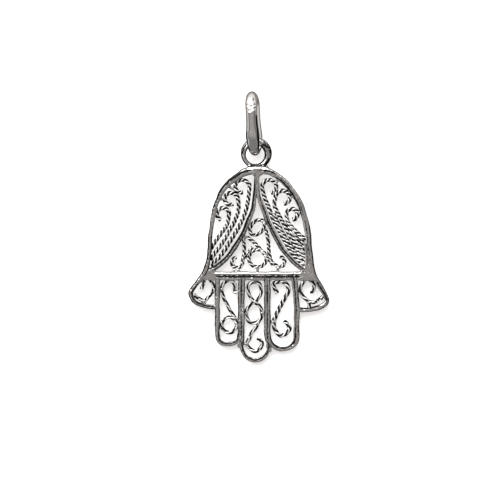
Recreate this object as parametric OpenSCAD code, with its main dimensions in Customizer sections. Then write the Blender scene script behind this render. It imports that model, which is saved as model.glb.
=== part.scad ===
// Hamsa pendant of silver wire, lying on its back on a flat surface: a pierced open hand
// with a soldered top loop, and a bail that passes through the loop.
// Millimetres. +X is the right of the hand as seen, +Y points from fingers to bail, +Z is up.

/* [Palm] */
// Width of the palm between its side wires, at its broad part
palm_w = 11; // [9:0.5:13]
// Height of the palm from the middle of the bar to the root of the centre stem
palm_h = 11; // [9:0.5:13]

/* [Fingers] */
// Width across the three fingers, between the outer finger walls
fingers_w = 8.75; // [7:0.25:10]
// Length of the left finger below the bar
left_finger_l = 7.5; // [6:0.25:9]
// Length of the middle finger below the bar
middle_finger_l = 9.3; // [8:0.1:11]
// Length of the right finger below the bar
right_finger_l = 8.05; // [6.5:0.05:9.5]

/* [Thumbs] */
// Reach of the left thumb beyond the left finger's wall
left_thumb_w = 2.9; // [2:0.1:4]
// Reach of the right thumb beyond the right finger's wall
right_thumb_w = 3.4; // [2.4:0.1:4.4]
// Drop of the thumbs below the bar
thumb_h = 3.5; // [2.8:0.1:4.2]

/* [Wires] */
// Width of the plain frame wire, seen from above
frame_w = 0.5; // [0.4:0.02:0.65]
// Height of the plain frame wire above the surface
frame_h = 1; // [0.8:0.05:1.3]
// Width of the twisted filigree wire, seen from above
filigree_w = 0.44; // [0.36:0.02:0.5]
// Height of the twisted filigree wire
filigree_h = 0.62; // [0.5:0.02:0.76]
// Radius of a full-size curl at the end of a scroll
curl_r = 0.8; // [0.6:0.05:0.95]

/* [Solder] */
// Radius of a solder joint between two wires
solder_r = 0.15; // [0.1:0.01:0.2]

/* [Top loop] */
// Radius of the round hole in the top loop
loop_hole_r = 1.02; // [0.95:0.02:1.3]
// Thickness of the top loop's wire, at its top
loop_wire_w = 0.86; // [0.7:0.02:0.95]
// Depth that the loop sinks into the apex, where it is soldered on
loop_sink = 0.12; // [0.06:0.02:0.2]
// Distance of the loop's middle to the left of the apex
loop_left = 0.22; // [0:0.02:0.4]

/* [Bail] */
// Length of the bail from end to end
bail_l = 7.1; // [6:0.1:9]
// Depth of the bail, from its front strand to its back strand
bail_d = 4.3; // [4:0.1:5.5]
// Width of the bail's band at its widest
bail_w = 1.5; // [1.2:0.05:1.7]
// Thickness of the bail's band
bail_t = 0.85; // [0.7:0.05:0.95]
// Lean of the bail about its own length
bail_lean = 6; // [0:0.5:8]
// Turn of the bail in the plane of the surface
bail_turn = 3; // [0:0.5:4]
// Distance of the bail's lower bend to the left of the loop's middle
bail_left = 0.09; // [0:0.03:0.24]
// Play between the loop and the inside of the bail's lower bend
bail_play = 0.42; // [0.26:0.02:0.6]
// Gap kept between the loop and the bail's back strand
seat_gap = 0.08; // [0.04:0.01:0.1]

/* [Hidden] */

// Finishes, as the parts look: polished bail and frame, darker twisted wire
polished = "#a39e99";
twisted = "#8d8883";

// Sides of the swept sections, and steps between two points of a curve
frame_sides = 8;
filigree_sides = 6;
solder_sides = 5;
frame_steps = 2;
filigree_steps = 2;
// Most that one step of a curl turns, before it is smoothed
curl_step = 72;
ring_step = 36;

// Sets of places: shares of the palm, of a finger's cell and of a thumb, made into millimetres
half_palm = palm_w / 2;
half_fingers = fingers_w / 2;
function palm_at(p) = [p.x * half_palm, p.y * palm_h];

// A finger: x of its left wall at the bar, along the finger and at its end, the same for its
// right wall, all as shares of half the fingers' width, then its length, the share of it that
// is the round end, how square that end is, and its wire widths as shares of the frame wire:
// left wall, end, right wall
LEFT = 0; RIGHT = 1; LONG = 2; ROUND = 3; SQUARE = 4; WIDTHS = 5;
left_finger = [[-1, -1, -0.99], [-0.435, -0.44, -0.465], left_finger_l, 0.12, 2.6,
    [1.12, 0.9, 0.8]];
middle_finger = [[-0.35, -0.36, -0.4], [0.22, 0.22, 0.31], middle_finger_l, 0.2, 2,
    [0.8, 0.95, 0.74]];
right_finger = [[0.285, 0.295, 0.31], [0.92, 0.99, 0.99], right_finger_l, 0.19, 2.3,
    [0.76, 1, 1.3]];

// A place in a finger's cell: x from -1 at its left wall to 1 at its right, y from 0 at the
// bar to 1 at its end
function finger_at(f, p) = [
    half_fingers * (f[LEFT][1] + (p.x + 1) / 2 * (f[RIGHT][1] - f[LEFT][1])),
    -p.y * f[LONG]
];
// A place in a thumb: x from 0 at the finger's wall to 1 at the thumb's tip, y downwards
function left_thumb_at(p) = [-half_fingers - p.x * left_thumb_w, -p.y * thumb_h];
function right_thumb_at(p) = [half_fingers + p.x * right_thumb_w, -p.y * thumb_h];

// Curves
function spline(p0, p1, p2, p3, t) =
    0.5 * (2 * p1 + (p2 - p0) * t + (2 * p0 - 5 * p1 + 4 * p2 - p3) * t * t
    + (3 * p1 - p0 - 3 * p2 + p3) * t * t * t);
// A smooth run through rows of [x, y, width]
function smooth(rows, steps) = let (last = len(rows) - 1) [
    for (i = [0:last - 1]) for (k = [0:steps - 1])
        spline(rows[max(i - 1, 0)], rows[i], rows[i + 1], rows[min(i + 2, last)], k / steps),
    rows[last]
];
// A curl about a centre, opening or closing from radius r0 to r1 between two angles
function curl(c, r0, r1, a0, a1) = let (steps = ceil(abs(a1 - a0) / curl_step)) [
    for (k = [0:steps]) let (t = k / steps, a = a0 + (a1 - a0) * t, r = r0 + (r1 - r0) * t)
        [c.x + r * cos(a), c.y + r * sin(a)]
];
function with_width(points, w) = [for (p = points) [p.x, p.y, w]];

// A section of a wire, from -1 to 1 both ways, with flat sides
function section(sides) = [
    for (k = [0:sides - 1]) let (a = (k + 0.5) * 360 / sides, flat = cos(180 / sides))
        [cos(a) / flat, sin(a) / (sides % 4 == 0 ? flat : 1)]
];
function tangent(path, i, closed) = let (
        n = len(path),
        before = closed ? path[(i + n - 1) % n] : path[max(i - 1, 0)],
        after = closed ? path[(i + 1) % n] : path[min(i + 1, n - 1)],
        d = [after.x - before.x, after.y - before.y]
    ) d / norm(d);

// A skin over rings of points, each ring having the same number of sides
module skin(points, rings, sides, closed) {
    quads = [
        for (i = [0:closed ? rings - 1 : rings - 2]) for (k = [0:sides - 1]) let (
            a = i * sides, b = ((i + 1) % rings) * sides, m = (k + 1) % sides
        ) [a + k, b + k, b + m, a + m]
    ];
    ends = closed ? [] : [
        [for (k = [0:sides - 1]) k],
        [for (k = [sides - 1:-1:0]) (rings - 1) * sides + k]
    ];
    polyhedron(points, concat(quads, ends));
}
// A flat-lying wire of the given height along rows of [x, y, width], its middle at height z
module wire(path, height, z, sides, closed = false) {
    n = len(path);
    shape = section(sides);
    points = [
        for (i = [0:n - 1]) let (t = tangent(path, i, closed), w = path[i][2] / 2)
            for (s = shape)
                [path[i].x - t.y * s.x * w, path[i].y + t.x * s.x * w, z + s.y * height / 2]
    ];
    skin(points, n, sides, closed);
}
module frame_wire(rows) {
    wire(smooth(rows, frame_steps), frame_h, frame_h / 2, frame_sides);
}
module scroll(points, share = 1) {
    wire(with_width(smooth(points, filigree_steps), filigree_w * share), filigree_h,
        frame_h / 2, filigree_sides);
}
// An oval ring about a centre. Its size is [half length, half width] as shares of a full curl
module ring(c, size, turn = 0) {
    long = size.x * curl_r;
    short = size.y * curl_r;
    path = [for (a = [0:ring_step:359]) [
        c.x + long * cos(a) * cos(turn) - short * sin(a) * sin(turn),
        c.y + long * cos(a) * sin(turn) + short * sin(a) * cos(turn), filigree_w
    ]];
    wire(path, filigree_h, frame_h / 2, filigree_sides, true);
}

// The outline from the apex down each side, then round each thumb to its finger's wall.
// Rows are [x share, y share, share of the frame wire's width]
left_side = [
    [0, 1.05, 1.5], [-0.22, 1.035, 1.55], [-0.42, 0.985, 1.45], [-0.61, 0.905, 1.25],
    [-0.745, 0.81, 1.1], [-0.835, 0.69, 1], [-0.895, 0.555, 0.95], [-0.935, 0.405, 0.92],
    [-0.955, 0.255, 0.92], [-0.985, 0.135, 1], [-1.03, 0.055, 1.1]
];
left_thumb_side = [
    [0.62, 0.06, 1.15], [0.83, 0.29, 1.05], [0.98, 0.48, 1], [1, 0.6, 1], [0.92, 0.76, 0.95],
    [0.76, 0.86, 0.92], [0.51, 0.94, 0.9], [0.26, 0.98, 0.9], [0, 0.985, 0.9]
];
right_side = [
    [0, 1.05, 1.5], [0.18, 1.045, 1.45], [0.33, 1.02, 1.4], [0.48, 0.967, 1.38],
    [0.625, 0.897, 1.38], [0.745, 0.82, 1.38], [0.84, 0.735, 1.38], [0.91, 0.645, 1.38],
    [0.97, 0.545, 1.38], [1.01, 0.435, 1.38], [1.035, 0.315, 1.36], [1.055, 0.195, 1.34],
    [1.08, 0.105, 1.35], [1.115, 0.035, 1.35]
];
right_thumb_side = [
    [0.64, 0.17, 1.25], [0.8, 0.41, 1.15], [0.92, 0.61, 1.05], [0.98, 0.78, 1],
    [0.88, 0.915, 1], [0.67, 1.01, 1], [0.41, 1.065, 1], [0.17, 1.065, 1], [0, 1.04, 1]
];
// The row of each thumb's table that is its tip
THUMB_TIP = 3;
// The wires that frame the two petals, from the apex along the centre stem and down
left_petal = [
    [-0.03, 1.02, 0.6], [-0.042, 0.93, 0.62], [-0.044, 0.835, 0.7], [-0.064, 0.745, 0.9],
    [-0.094, 0.655, 1], [-0.17, 0.555, 1.02], [-0.254, 0.455, 1.02], [-0.36, 0.355, 1.02],
    [-0.49, 0.255, 1.05], [-0.62, 0.175, 1.05], [-0.77, 0.105, 1.05], [-1.03, 0.02, 1.1]
];
right_petal = [
    [0.02, 1.02, 0.6], [0.012, 0.93, 0.64], [0.02, 0.84, 0.8], [0.056, 0.755, 1.1],
    [0.135, 0.655, 1.15], [0.21, 0.555, 1.15], [0.304, 0.455, 1.15], [0.41, 0.355, 1.15],
    [0.53, 0.255, 1.15], [0.66, 0.18, 1.15], [0.81, 0.11, 1.15], [1.08, 0.02, 1.2]
];
function palm_rows(rows) = [
    for (r = rows) let (p = palm_at(r)) [p.x, p.y, r[2] * frame_w]
];
function left_thumb_rows(rows) = [
    for (r = rows) let (p = left_thumb_at(r)) [p.x, p.y, r[2] * frame_w]
];
function right_thumb_rows(rows) = [
    for (r = rows) let (p = right_thumb_at(r)) [p.x, p.y, r[2] * frame_w]
];

module outline() color(polished) {
    frame_wire(concat(palm_rows(left_side), left_thumb_rows(left_thumb_side)));
    frame_wire(concat(palm_rows(right_side), right_thumb_rows(right_thumb_side)));
}
module petal_frames() color(polished) {
    frame_wire(palm_rows(left_petal));
    frame_wire(palm_rows(right_petal));
    frame_wire(palm_rows(inner_wire));
}

// The bar is two wires side by side. Columns: x of its ends, y, width, all shares
bar_wires = [[-0.92, 1, 0.024, 0.7], [-0.86, 0.94, -0.021, 1]];
module bar() color(polished)
    for (b = bar_wires)
        wire(palm_rows([[b[0], b[2], b[3]], [b[1], b[2], b[3]]]), frame_h, frame_h / 2,
            frame_sides);

// A finger's wire goes down one wall, round the end and up the other. A wall's places are
// [which x of the finger's table, share of the straight length]
end_angles = [180:18:360];
wall_places = [[0, 0], [1, 0.42], [1, 0.9]];
function wall_rows(f, side, width) = let (foot = f[LONG] * (1 - f[ROUND])) [
    for (place = wall_places)
        [half_fingers * f[side][place[0]], -foot * place[1], width * frame_w]
];
function end_at(f, a) = let (
        middle = half_fingers * (f[LEFT][2] + f[RIGHT][2]) / 2,
        half = half_fingers * (f[RIGHT][2] - f[LEFT][2]) / 2,
        round_l = f[LONG] * f[ROUND],
        p = 2 / f[SQUARE]
    ) [
        middle + half * sign(cos(a)) * pow(abs(cos(a)), p),
        -f[LONG] + round_l - round_l * pow(abs(sin(a)), p)
    ];
// The wire keeps its end width until close to the walls
width_power = 3;
function end_width(f, a) = frame_w * (f[WIDTHS][1]
    + (f[WIDTHS][cos(a) < 0 ? 0 : 2] - f[WIDTHS][1]) * pow(abs(cos(a)), width_power));
function finger_rows(f) = let (right_wall = wall_rows(f, RIGHT, f[WIDTHS][2])) concat(
    wall_rows(f, LEFT, f[WIDTHS][0]),
    [for (a = end_angles) concat(end_at(f, a), end_width(f, a))],
    [for (k = [len(right_wall) - 1:-1:0]) right_wall[k]]
);
module finger_frame(f)
    wire(finger_rows(f), frame_h, frame_h / 2, frame_sides);
module finger_frames() color(polished) {
    finger_frame(left_finger);
    finger_frame(middle_finger);
    finger_frame(right_finger);
}

// The top loop is thick at its top and right, and thin where it is soldered on. Its width is
// a mean, with gains to the right and to the top, as shares of the wire at its top
loop_mean = 0.8;
loop_gain = [0.14, 0.2];
function loop_width(a) = loop_wire_w * (loop_mean + loop_gain.x * cos(a) + loop_gain.y * sin(a));
apex = palm_at(left_side[0]) + [0, left_side[0][2] * frame_w / 2];
loop_center = apex + [-loop_left, loop_hole_r + loop_width(270) - loop_sink];
loop_step = 18;
module top_loop() color(polished) {
    path = [for (a = [0:loop_step:359]) let (w = loop_width(a), r = loop_hole_r + w / 2)
        [loop_center.x + r * cos(a), loop_center.y + r * sin(a), w]];
    wire(path, loop_wire_w, frame_h / 2, frame_sides, true);
}

// Scrolls of the left petal, root to tip. Each row is the stem's points, the curl's centre,
// then its first and last radius as shares of a full curl, and its first and last angle
STEM = 0; CENTRE = 1; R_FIRST = 2; R_LAST = 3; A_FIRST = 4; A_LAST = 5;
left_scrolls = [
    [[[-0.94, 0.105], [-0.74, 0.195], [-0.54, 0.345], [-0.32, 0.535], [-0.2, 0.705]],
        [-0.31, 0.89], 1.08, 0.75, 0, 285],
    [[[-0.94, 0.16], [-0.82, 0.245], [-0.68, 0.34], [-0.44, 0.56], [-0.37, 0.68]],
        [-0.53, 0.765], 1, 0.7, 0, 300],
    [[[-0.95, 0.24], [-0.86, 0.325], [-0.72, 0.425], [-0.6, 0.515]],
        [-0.68, 0.62], 0.8, 0.86, 0, 250]
];
right_scrolls = [
    [[[0.98, 0.085], [0.84, 0.155], [0.68, 0.245], [0.56, 0.345], [0.445, 0.445],
        [0.32, 0.565], [0.24, 0.675], [0.15, 0.785]],
        [0.25, 0.89], 1.05, 0.85, 180, -80],
    [[[0.95, 0.135], [0.8, 0.265], [0.66, 0.395], [0.56, 0.495], [0.43, 0.615], [0.345, 0.705]],
        [0.52, 0.78], 1.1, 0.82, 180, -85],
    [[[0.98, 0.36], [0.8, 0.435], [0.7, 0.485], [0.62, 0.535]],
        [0.7, 0.615], 0.8, 0.72, 195, -90]
];
function scroll_path(row) = let (c = palm_at(row[CENTRE])) concat(
    [for (p = row[STEM]) palm_at(p)],
    curl(c, row[R_FIRST] * curl_r, row[R_LAST] * curl_r, row[A_FIRST], row[A_LAST])
);
// Straight strands that fill the right petal's lower end, side by side
right_strands = [
    [[0.33, 0.62], [0.5, 0.44], [0.7, 0.28], [0.94, 0.115]],
    [[0.6, 0.56], [0.74, 0.38], [0.9, 0.22], [0.99, 0.14]],
    [[0.72, 0.46], [0.84, 0.32], [0.99, 0.19]],
    [[0.86, 0.4], [0.93, 0.31], [1, 0.25]]
];
// A thin plain wire inside the right side's outline. Rows as in the outline's tables
inner_wire = [[0.955, 0.33, 0.5], [0.975, 0.22, 0.5], [0.985, 0.1, 0.5], [0.99, 0.03, 0.5]];
module left_petal_filigree() color(twisted)
    for (row = left_scrolls) scroll(scroll_path(row));
module right_petal_filigree() color(twisted) {
    for (row = right_scrolls) scroll(scroll_path(row));
    for (row = right_strands) scroll([for (p = row) palm_at(p)]);
}

// The palm's triangle: two rings, a slanting wire and an upright one that both end in a curl,
// and a plain upright
palm_slant = [[[-0.22, 0.395], [-0.06, 0.335], [0.1, 0.245], [0.25, 0.155]],
    [0.45, 0.14], 0.68, 0.7, 215, 450];
palm_left = [[[-0.27, 0.375], [-0.26, 0.25]], [-0.4, 0.135], 0.76, 0.7, 10, -265];
palm_tail = [[-0.25, 0.18], [-0.17, 0.235], [-0.09, 0.29]];
palm_right = [[0.17, 0.475], [0.22, 0.355], [0.24, 0.225], [0.31, 0.105]];
upper_ring = [[0, 0.485], [1.19, 0.825], 48];
lower_ring = [[0.01, 0.175], [1.2, 1.2], 0];
module palm_filigree() color(twisted) {
    for (row = [upper_ring, lower_ring]) ring(palm_at(row[0]), row[1], row[2]);
    scroll(scroll_path(palm_slant));
    scroll(scroll_path(palm_left));
    scroll([for (p = palm_right) palm_at(p)]);
    scroll([for (p = palm_tail) palm_at(p)]);
}

// Scrolls of the fingers and thumbs, as points in their own cells
left_finger_scroll = [
    [0.76, 0.235], [0.46, 0.227], [0.59, 0.14], [0.24, 0.07], [-0.25, 0.08], [-0.55, 0.147],
    [-0.62, 0.227], [-0.38, 0.337], [0.1, 0.49], [0.5, 0.594], [0.68, 0.65]
];
left_finger_ring = [[0.06, 0.72], [1.03, 1.05]];
middle_eight = [
    [0, 0.31], [0.43, 0.256], [0.6, 0.173], [0.43, 0.095], [-0.03, 0.07], [-0.44, 0.1], [-0.58, 0.167],
    [-0.4, 0.232], [-0.07, 0.298], [0.39, 0.35], [0.67, 0.42], [0.56, 0.5], [0.14, 0.554],
    [-0.36, 0.548], [-0.67, 0.488], [-0.67, 0.41], [-0.4, 0.345], [0, 0.31]
];
middle_hook = [
    [0.52, 0.5], [0.14, 0.607], [-0.23, 0.673], [-0.44, 0.744], [-0.65, 0.81], [-0.36, 0.863],
    [0.06, 0.893], [0.47, 0.863], [0.68, 0.804], [0.52, 0.756], [0.22, 0.738]
];
// The right finger's wire is a little wider than the rest
right_finger_share = 1.15;
right_finger_scroll = [
    [-0.38, 0.24], [-0.6, 0.164], [-0.68, 0.11], [-0.42, 0.085], [-0.05, 0.075], [0.25, 0.11],
    [0.42, 0.171], [0.32, 0.247], [0.05, 0.336], [-0.2, 0.43], [-0.45, 0.527],
    [-0.64, 0.623], [-0.6, 0.705], [-0.42, 0.774], [-0.12, 0.815], [0.25, 0.788],
    [0.5, 0.726], [0.37, 0.66], [0.07, 0.62]
];
left_thumb_scroll = [
    [0.6, 0.42], [0.54, 0.23], [0.43, 0.07], [0.28, 0.11], [0.16, 0.3], [0.16, 0.48],
    [0.35, 0.67], [0.5, 0.85]
];
right_thumb_scroll = [
    [0.42, 0.5], [0.52, 0.48], [0.56, 0.37], [0.49, 0.2], [0.34, 0.09], [0.19, 0.22],
    [0.11, 0.44], [0.19, 0.64], [0.36, 0.79], [0.4, 1]
];
module finger_filigree() color(twisted) {
    scroll([for (p = left_finger_scroll) finger_at(left_finger, p)]);
    ring(finger_at(left_finger, left_finger_ring[0]), left_finger_ring[1]);
    scroll([for (p = middle_eight) finger_at(middle_finger, p)]);
    scroll([for (p = middle_hook) finger_at(middle_finger, p)]);
    scroll([for (p = right_finger_scroll) finger_at(right_finger, p)], right_finger_share);
}
left_thumb_strand = [[0.9, 0.58], [0.76, 0.68], [0.48, 0.82]];
right_thumb_strand = [[0.36, 0.8], [0.55, 0.83], [0.74, 0.74], [0.86, 0.62]];
module thumb_filigree() color(twisted) {
    scroll([for (p = left_thumb_scroll) left_thumb_at(p)]);
    scroll([for (p = left_thumb_strand) left_thumb_at(p)]);
    scroll([for (p = right_thumb_scroll) right_thumb_at(p)]);
    scroll([for (p = right_thumb_strand) right_thumb_at(p)]);
}

// Solder fills the corners of the frame. Each row is the corners of one fill, in the palm
solder_fills = [
    [[-1.03, 0.05], [-0.87, 0.04], [-0.84, -0.03], [-1.05, -0.02]],
    [[0.9, 0.05], [1.1, 0.06], [1.13, -0.03], [0.86, -0.03]],
    [[-0.13, 1.03], [0.13, 1.03], [0, 0.985]],
    [[-0.16, 1.09], [-0.18, 1.05], [0.1, 1.05], [0.1, 1.08]],
    [[0.17, 1.1], [0.22, 1.06], [0, 1.05]],
    [[-0.39, -0.64], [-0.3, -0.64], [-0.29, -0.7]],
    [[0.19, -0.66], [0.29, -0.66], [0.24, -0.72]]
];
// Solder rounds the two corners of each finger's cell at the bar
corner_fill = [[1, 0.008], [0.72, 0.015], [1, 0.05]];
// Small joints, each from a place on a scroll to a place on a frame wire
palm_joints = [
    [[-0.46, 0.865], [-0.61, 0.905]], [[-0.69, 0.77], [-0.78, 0.765]],
    [[-0.84, 0.62], [-0.87, 0.62]], [[0.38, 0.93], [0.44, 0.98]],
    [[0.69, 0.79], [0.78, 0.79]], [[0.83, 0.63], [0.91, 0.645]],
    [[-0.38, 0.06], [-0.34, 0.02]], [[-0.46, 0.06], [-0.5, 0.02]], [[0.01, 0.09], [0.01, 0.02]],
    [[0.42, 0.08], [0.4, 0.02]], [[-0.2, 0.39], [-0.32, 0.4]], [[0.13, 0.53], [0.23, 0.53]]
];
left_finger_joints = [[[-0.05, 0.07], [-0.05, 0]], [[-0.6, 0.2], [-1, 0.2]], [[0.76, 0.72], [1, 0.72]]];
middle_finger_joints = [
    [[-0.03, 0.07], [-0.03, 0]], [[-0.67, 0.45], [-1, 0.45]], [[0.67, 0.44], [1, 0.44]],
    [[-0.65, 0.81], [-1, 0.8]]
];
right_finger_joints = [[[-0.1, 0.075], [-0.1, 0]], [[-0.64, 0.63], [-1, 0.63]]];
// Shares of the wires' height that solder fills, at a small joint and in a corner
solder_level = 0.8;
fill_level = 0.94;
// Radius of the solder at the corners of a fill, as a share of the frame wire's width
fill_r = 0.4;
// Solder between upright rods of one height and radius at the given places, at mid height
module fill(places, height, r)
    hull() for (p = places)
        translate([p.x, p.y, (frame_h - height) / 2])
            cylinder(h = height, r = r, $fn = solder_sides);
module joint(ends) fill(ends, filigree_h * solder_level, solder_r);
module frame_fill(corners) fill(corners, frame_h * fill_level, frame_w * fill_r);
module solder() color(polished) {
    for (corners = solder_fills)
        frame_fill([for (p = corners) palm_at(p)]);
    for (f = [left_finger, middle_finger, right_finger])
        for (side = [-1, 1])
            frame_fill([for (p = corner_fill) finger_at(f, [side * p.x, p.y])]);
    for (j = palm_joints) joint([for (p = j) palm_at(p)]);
    for (j = left_finger_joints) joint([for (p = j) finger_at(left_finger, p)]);
    for (j = middle_finger_joints) joint([for (p = j) finger_at(middle_finger, p)]);
    for (j = right_finger_joints) joint([for (p = j) finger_at(right_finger, p)]);
}

// The hand as it lies flat, its underside at height 0
module flat_hand() {
    outline();
    petal_frames();
    bar();
    finger_frames();
    top_loop();
    left_petal_filigree();
    right_petal_filigree();
    palm_filigree();
    finger_filigree();
    thumb_filigree();
    solder();
}

// How the hand rests: on the ends of its middle and right fingers, its top loop raised on
// the bail's back strand. It tips about the line that touches both ends
touch_angle = 290;
finger_tip = end_at(middle_finger, touch_angle);
second_tip = end_at(right_finger, touch_angle);
tip_line = (second_tip - finger_tip) / norm(second_tip - finger_tip);
tip_across = [-tip_line.y, tip_line.x];
loop_top = loop_center + [0, loop_hole_r + loop_wire_w / 2];
loop_reach = (loop_top - finger_tip) * tip_across;
loop_along = (loop_top - finger_tip) * tip_line;
mid_h = frame_h / 2;

// The bail is an oval ring: two half circles joined by straights, seen edge on
bend_r = bail_d / 2;
lower_t = 0.82;
// Share of the band's thickness that stands straight at its edges, below the dome
band_edge = 0.12;
// Share of the band's width that is flat on its inside
band_flat = 0.88;
bend_to_loop = bend_r - lower_t * bail_t - bail_play - loop_wire_w / 2;
seat_r = bend_r - bail_t - loop_wire_w / 2 / cos(180 / frame_sides) - seat_gap;
// Height of the loop's wire where it lies on the higher edge of the leaning band, then the
// angle by which the hand tips to lie so
bail_z = (bend_r - (1 - band_edge) * bail_t) * cos(bail_lean)
    + norm([bail_w / 2 * sin(bail_lean), (1 - band_edge) * bail_t * cos(bail_lean)]);
loop_z = bail_z + bail_w / 2 * sin(bail_lean)
    - sqrt(max(0, seat_r * seat_r - pow(max(0, bend_to_loop), 2)));
tip_angle = asin(loop_z / norm([loop_reach, mid_h])) - atan2(mid_h, loop_reach);
// The loop's top as it then lies
loop_seat = finger_tip + tip_line * loop_along
    + tip_across * (loop_reach * cos(tip_angle) - mid_h * sin(tip_angle));

// Shares of the band's width and thickness, by height up the bail from its lower bend
band_widths = [[0, 0.66], [0.01, 0.71], [0.04, 0.8], [0.09, 0.87], [0.16, 0.92], [0.3, 1],
    [0.39, 0.94], [0.48, 0.86], [0.62, 0.83], [0.86, 0.9], [1, 0.87]];
band_thicknesses = [[0, lower_t], [0.3, 1], [1, 1]];
straight = bail_l - bail_d;
straight_steps = 4;
// Places round the ring, each [y of its outer face, direction that face looks, in degrees]
bail_stations = concat(
    [for (a = [-90:15:90]) [straight + bend_r * cos(a), a]],
    [for (k = [1:straight_steps - 1]) [straight * (1 - k / straight_steps), 90]],
    [for (a = [90:15:270]) [bend_r * cos(a), a]],
    [for (k = [1:straight_steps - 1]) [straight * k / straight_steps, 270]]
);
// Section of the band: domed outside, flat inside. Rows are [x, depth below the outer face]
function band_section(w, t) = concat(
    [for (a = [0:30:180]) [w / 2 * cos(a), (1 - band_edge) * t * (1 - sin(a))]],
    [[-band_flat / 2 * w, t], [band_flat / 2 * w, t]]
);
module band() {
    points = [for (s = bail_stations) let (
            share = (s[0] + bend_r) / bail_l,
            out_y = cos(s[1]), out_z = sin(s[1]),
            w = bail_w * lookup(share, band_widths),
            t = bail_t * lookup(share, band_thicknesses)
        ) for (p = band_section(w, t))
            [p.x, s[0] - out_y * p.y, out_z * (bend_r - p.y)]
    ];
    skin(points, len(bail_stations), len(band_section(1, 1)), true);
}

// The origin is under the middle of the whole pendant
left_end = left_thumb_at(left_thumb_side[THUMB_TIP]).x - frame_w / 2;
right_end = right_thumb_at(right_thumb_side[THUMB_TIP]).x + frame_w / 2;
low_end = -middle_finger_l - frame_w * middle_finger[WIDTHS][1] / 2;
high_end = loop_seat.y + bend_to_loop + straight + bend_r;
module centred() translate([-(left_end + right_end) / 2, -(low_end + high_end) / 2, 0]) children();

module bail() color(polished) centred()
    translate([loop_seat.x - bail_left, loop_seat.y, bail_z])
        rotate([0, 0, bail_turn]) rotate([0, -bail_lean, 0])
            translate([0, bend_to_loop, 0]) band();

module hand() centred()
    translate(finger_tip)
        rotate(a = tip_angle, v = [tip_line.x, tip_line.y, 0])
            translate(-finger_tip) flat_hand();

bail();
hand();
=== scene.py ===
"""The looks of a silver hamsa pendant and its bail, lying on a pale floor.

Shapes are worked out in millimetres in the hand's own plane, as the solids are. The hand is then
tipped into the pose that it rests in, and everything is centred and scaled to metres.
"""

import functools
import math

import bpy
import numpy as np
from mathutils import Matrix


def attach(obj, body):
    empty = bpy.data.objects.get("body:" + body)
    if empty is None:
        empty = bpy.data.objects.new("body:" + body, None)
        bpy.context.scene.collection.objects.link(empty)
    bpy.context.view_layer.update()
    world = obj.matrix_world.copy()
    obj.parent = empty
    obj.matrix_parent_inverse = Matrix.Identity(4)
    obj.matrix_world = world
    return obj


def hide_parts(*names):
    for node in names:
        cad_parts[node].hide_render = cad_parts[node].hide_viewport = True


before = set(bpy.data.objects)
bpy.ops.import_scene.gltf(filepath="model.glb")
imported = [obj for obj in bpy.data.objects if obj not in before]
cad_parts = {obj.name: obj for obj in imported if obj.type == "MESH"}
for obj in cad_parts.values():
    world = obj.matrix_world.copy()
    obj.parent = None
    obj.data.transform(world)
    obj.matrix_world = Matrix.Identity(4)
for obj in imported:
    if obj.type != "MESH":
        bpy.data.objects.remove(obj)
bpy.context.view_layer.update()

# ---- Sizes in millimetres, as the solids have them ----

PALM_W, PALM_H = 11.0, 11.0
FINGERS_W = 8.75
LEFT_FINGER_L, MIDDLE_FINGER_L, RIGHT_FINGER_L = 7.5, 9.3, 8.05
LEFT_THUMB_W, RIGHT_THUMB_W, THUMB_H = 2.9, 3.4, 3.5
FRAME_W, FRAME_H = 0.5, 1.0
TWIST_W, TWIST_H = 0.44, 0.62
CURL_R = 0.8
SOLDER_R = 0.15
LOOP_HOLE_R, LOOP_WIRE_W, LOOP_SINK, LOOP_LEFT = 1.02, 0.86, 0.12, 0.22
BAIL_L, BAIL_D, BAIL_W, BAIL_T = 7.1, 4.3, 1.5, 0.85
BAIL_LEFT, BAIL_PLAY, SEAT_GAP = 0.09, 0.42, 0.08
# These two are in degrees
BAIL_LEAN, BAIL_TURN = 6.0, 3.0

HALF_PALM = PALM_W / 2
HALF_FINGERS = FINGERS_W / 2
MID_H = FRAME_H / 2
MM = 0.001

# ---- Tables of places, as shares of the palm, of a finger's cell and of a thumb ----

# Rows of the frame's tables are x, y and the share of the frame wire's width
LEFT_SIDE = [
    (0, 1.059, 1.8), (-0.22, 1.041, 1.7), (-0.42, 0.987, 1.5), (-0.61, 0.905, 1.25),
    (-0.745, 0.81, 1.1), (-0.835, 0.69, 1), (-0.895, 0.555, 0.95), (-0.935, 0.405, 0.92),
    (-0.955, 0.255, 0.92), (-0.985, 0.135, 1), (-1.03, 0.055, 1.1),
]
LEFT_THUMB_SIDE = [
    (0.62, 0.06, 1.15), (0.83, 0.29, 1.05), (0.98, 0.48, 1), (1, 0.6, 1), (0.92, 0.76, 0.95),
    (0.76, 0.86, 0.92), (0.51, 0.94, 0.9), (0.26, 0.98, 0.9), (0, 0.985, 0.9),
]
RIGHT_SIDE = [
    (0, 1.059, 1.8), (0.18, 1.05, 1.6), (0.33, 1.022, 1.45), (0.48, 0.967, 1.38),
    (0.625, 0.897, 1.38), (0.745, 0.82, 1.38), (0.84, 0.735, 1.38), (0.91, 0.645, 1.38),
    (0.97, 0.545, 1.38), (1.01, 0.435, 1.38), (1.035, 0.315, 1.36), (1.055, 0.195, 1.34),
    (1.08, 0.105, 1.35), (1.115, 0.035, 1.35),
]
RIGHT_THUMB_SIDE = [
    (0.64, 0.17, 1.25), (0.8, 0.41, 1.15), (0.92, 0.61, 1.05), (0.98, 0.78, 1),
    (0.88, 0.915, 1), (0.67, 1.01, 1), (0.41, 1.065, 1), (0.17, 1.065, 1), (0, 1.04, 1),
]
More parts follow.
